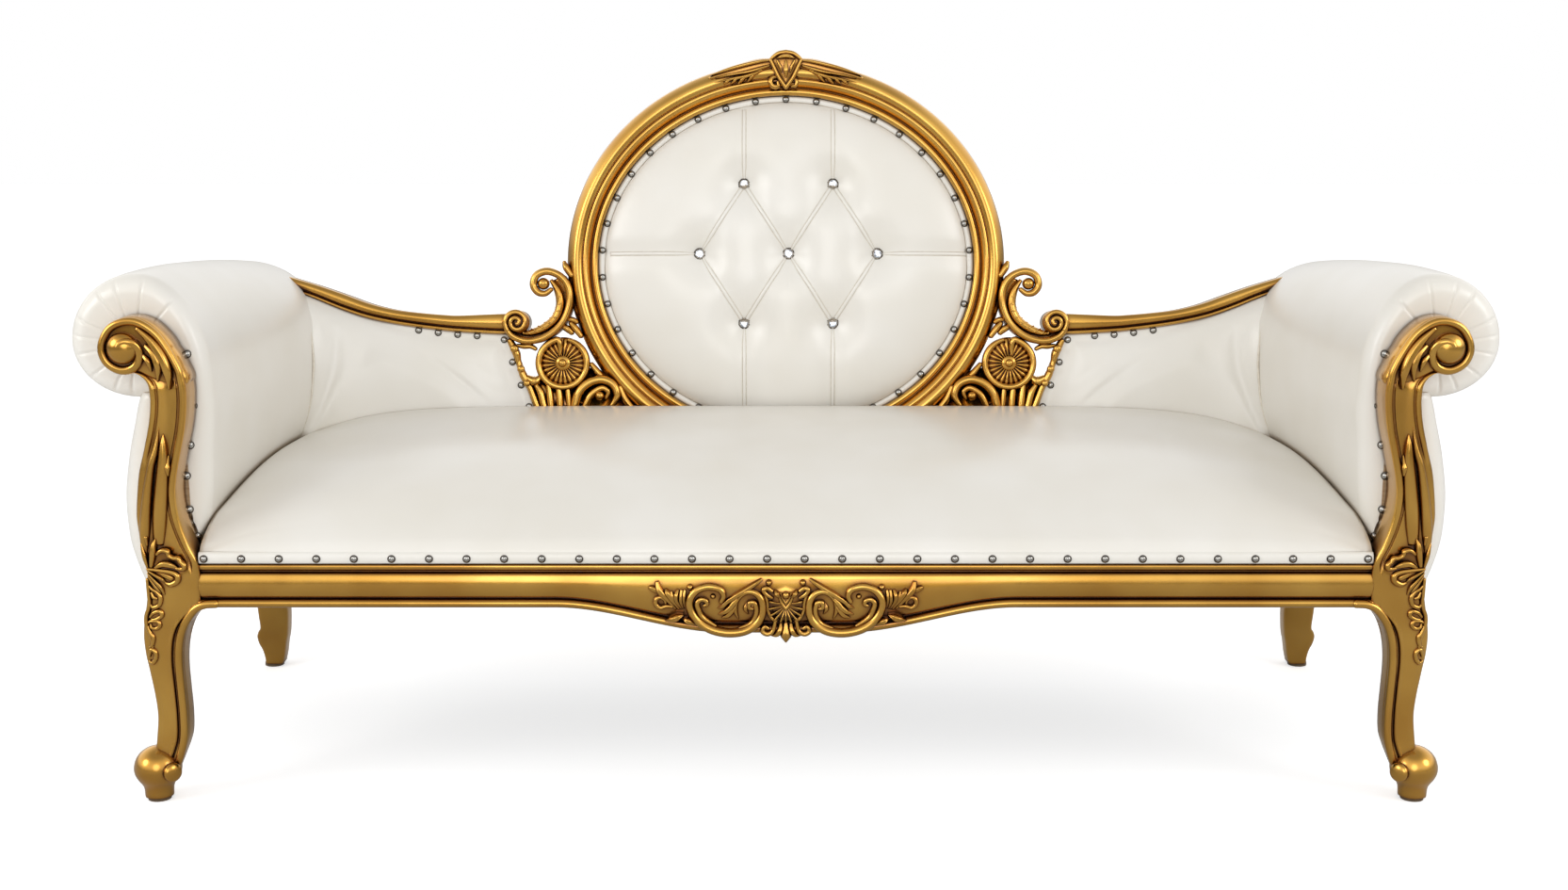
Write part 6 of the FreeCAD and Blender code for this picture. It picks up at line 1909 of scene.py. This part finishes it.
def make_seat():
    """The crowned seat, its band and the cloths under it."""
    shape = Shape()
    shares = [k / 80 for k in range(81)]
    rows = []
    for y in [SEAT_FRONT + (SEAT_REAR - SEAT_FRONT) * (0.4 * t + 0.6 * t**2) for t in shares]:
        half = seat_half(y)
        row = []
        for j in range(145):
            v = 2 * j / 144 - 1
            x = half * math.sin(math.pi / 2 * v) * 0.35 + half * v * 0.65
            z = seat_height(x, y)
            rake = (z - RAIL_TOP) * math.tan(BACK_LEAN) * ease(0, SEAT_REAR, y)
            row.append((x, y + rake, z))
        rows.append(row)
    panel(shape, rows, lambda point: (point[0], point[1], SEAT_BASE))
    seat = build("seat_leather", shape, LEATHER)
    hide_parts("seat_cover", "seat_foam")
    puff(seat, seat_held, SEAT_GIVE)
    make_seat_border()
    make_seat_cloths()


# Stage

# How bright gloss sees the room, as (rise of the direction, share of the peak), the peak, and the even
# light on all else
SHINE = [(-0.05, 0.06), (0.28, 1.0), (0.60, 0.85), (0.92, 0.35)]
SHINE_PEAK = 1.6
ROOM_LIGHT = 0.72

# Lamps: name, place, size and power; all aim at one point
LAMPS = [
    ("front_lamp", (-0.2, -4.2, 1.5), 2.2, 26.0),
    ("left_lamp", (-3.0, -1.7, 1.7), 1.5, 27.0),
    ("right_lamp", (3.0, -1.7, 1.7), 1.5, 24.0),
]
LAMP_AIM = (0.0, 0.0, 0.5)

# The photo's camera, as fitted to the feet
CAMERA_PLACE = (0.0, -2.787, 0.9706)
CAMERA_TILT = math.radians(78.756)
CAMERA_LENS = 45.405
CAMERA_SHIFT = -0.0012
SENSOR_WIDTH = 36.0

# The floor's reach, its tone as lit and as gloss sees it, and its own glow to the eye
FLOOR_REACH = 12.0
FLOOR_TONE = 0.86
FLOOR_TONE_IN_GLOSS = 0.60
FLOOR_GLOW = 0.55


def choose(tree, factor, first, second):
    """A number that goes from the first to the second as the factor goes from 0 to 1."""
    node = tree.nodes.new("ShaderNodeMix")
    for socket, value in ((node.inputs[0], factor), (node.inputs[2], first), (node.inputs[3], second)):
        if isinstance(value, bpy.types.NodeSocket):
            tree.links.new(value, socket)
        else:
            socket.default_value = value
    return node.outputs[0]


def times(tree, source, number):
    """A socket's value times a number."""
    node = tree.nodes.new("ShaderNodeMath")
    node.operation = "MULTIPLY"
    node.inputs[1].default_value = number
    tree.links.new(source, node.inputs[0])
    return node.outputs["Value"]


def seen_share(tree):
    """1 for rays that show the background itself: camera and transmission rays."""
    path = tree.nodes.new("ShaderNodeLightPath")
    seen = tree.nodes.new("ShaderNodeMath")
    seen.operation = "MAXIMUM"
    tree.links.new(path.outputs["Is Camera Ray"], seen.inputs[0])
    tree.links.new(path.outputs["Is Transmission Ray"], seen.inputs[1])
    return seen.outputs["Value"]


def make_world(scene):
    """White to the eye; gloss sees a room in bands of brightness, and all else is lit evenly."""
    world = bpy.data.worlds.new("studio")
    scene.world = world
    world.use_nodes = True
    tree = world.node_tree
    background = tree.nodes["Background"]
    background.inputs["Color"].default_value = (1.0, 1.0, 1.0, 1.0)
    way = tree.nodes.new("ShaderNodeSeparateXYZ")
    tree.links.new(tree.nodes.new("ShaderNodeTexCoord").outputs["Generated"], way.inputs["Vector"])
    height = tree.nodes.new("ShaderNodeMapRange")
    height.inputs["From Min"].default_value = -1.0
    tree.links.new(way.outputs["Z"], height.inputs["Value"])
    bands = tree.nodes.new("ShaderNodeValToRGB")
    set_stops(bands, [((rise + 1) / 2, share) for rise, share in SHINE])
    tree.links.new(height.outputs["Result"], bands.inputs["Fac"])
    shine = times(tree, bands.outputs["Color"], SHINE_PEAK)
    path = tree.nodes.new("ShaderNodeLightPath")
    lit = choose(tree, path.outputs["Is Glossy Ray"], ROOM_LIGHT, shine)
    tree.links.new(choose(tree, seen_share(tree), lit, 1.0), background.inputs["Strength"])


def make_floor():
    """A wide pale floor that keeps a soft shadow, glows a little to the eye and is darker in gloss."""
    mesh = bpy.data.meshes.new("floor")
    reach = FLOOR_REACH
    corners = [(-reach, -reach, 0), (reach, -reach, 0), (reach, reach, 0), (-reach, reach, 0)]
    mesh.from_pydata(corners, [], [(0, 1, 2, 3)])
    floor = bpy.data.objects.new("floor", mesh)
    bpy.context.collection.objects.link(floor)
    material = bpy.data.materials.new("pale_floor")
    material.use_nodes = True
    tree = material.node_tree
    shader = tree.nodes["Principled BSDF"]
    path = tree.nodes.new("ShaderNodeLightPath")
    tone = choose(tree, path.outputs["Is Glossy Ray"], FLOOR_TONE, FLOOR_TONE_IN_GLOSS)
    tree.links.new(tone, shader.inputs["Base Color"])
    shader.inputs["Roughness"].default_value = 0.9
    shader.inputs["Specular IOR Level"].default_value = 0.1
    shader.inputs["Emission Color"].default_value = (1.0, 1.0, 1.0, 1.0)
    tree.links.new(times(tree, seen_share(tree), FLOOR_GLOW), shader.inputs["Emission Strength"])
    mesh.materials.append(material)


def add_lamp(name, place, size, power):
    """A round lamp that faces the settee."""
    data = bpy.data.lights.new(name, "AREA")
    data.shape = "DISK"
    data.size = size
    data.energy = power
    lamp = bpy.data.objects.new(name, data)
    lamp.location = place
    lamp.rotation_euler = (Vector(LAMP_AIM) - Vector(place)).to_track_quat("-Z", "Y").to_euler()
    bpy.context.collection.objects.link(lamp)


def make_stage():
    """Plain white floor and background, soft studio lamps and the camera."""
    scene = bpy.context.scene
    scene.view_settings.view_transform = "Standard"
    make_world(scene)
    make_floor()
    for name, place, size, power in LAMPS:
        add_lamp(name, place, size, power)
    data = bpy.data.cameras.new("camera")
    data.sensor_width = SENSOR_WIDTH
    data.lens = CAMERA_LENS
    data.shift_x = CAMERA_SHIFT
    camera = bpy.data.objects.new("camera", data)
    camera.location = CAMERA_PLACE
    camera.rotation_euler = (CAMERA_TILT, 0.0, 0.0)
    bpy.context.collection.objects.link(camera)
    scene.camera = camera


# The settee

make_stage()
dress_cad_nodes()
make_front_legs()
make_rear_legs()
make_front_rail()
make_ring()
make_crest()
make_wing_rails()
make_spandrels()
make_medallion_pad()
make_wings()
make_arms()
make_seat()
make_outside_backs()
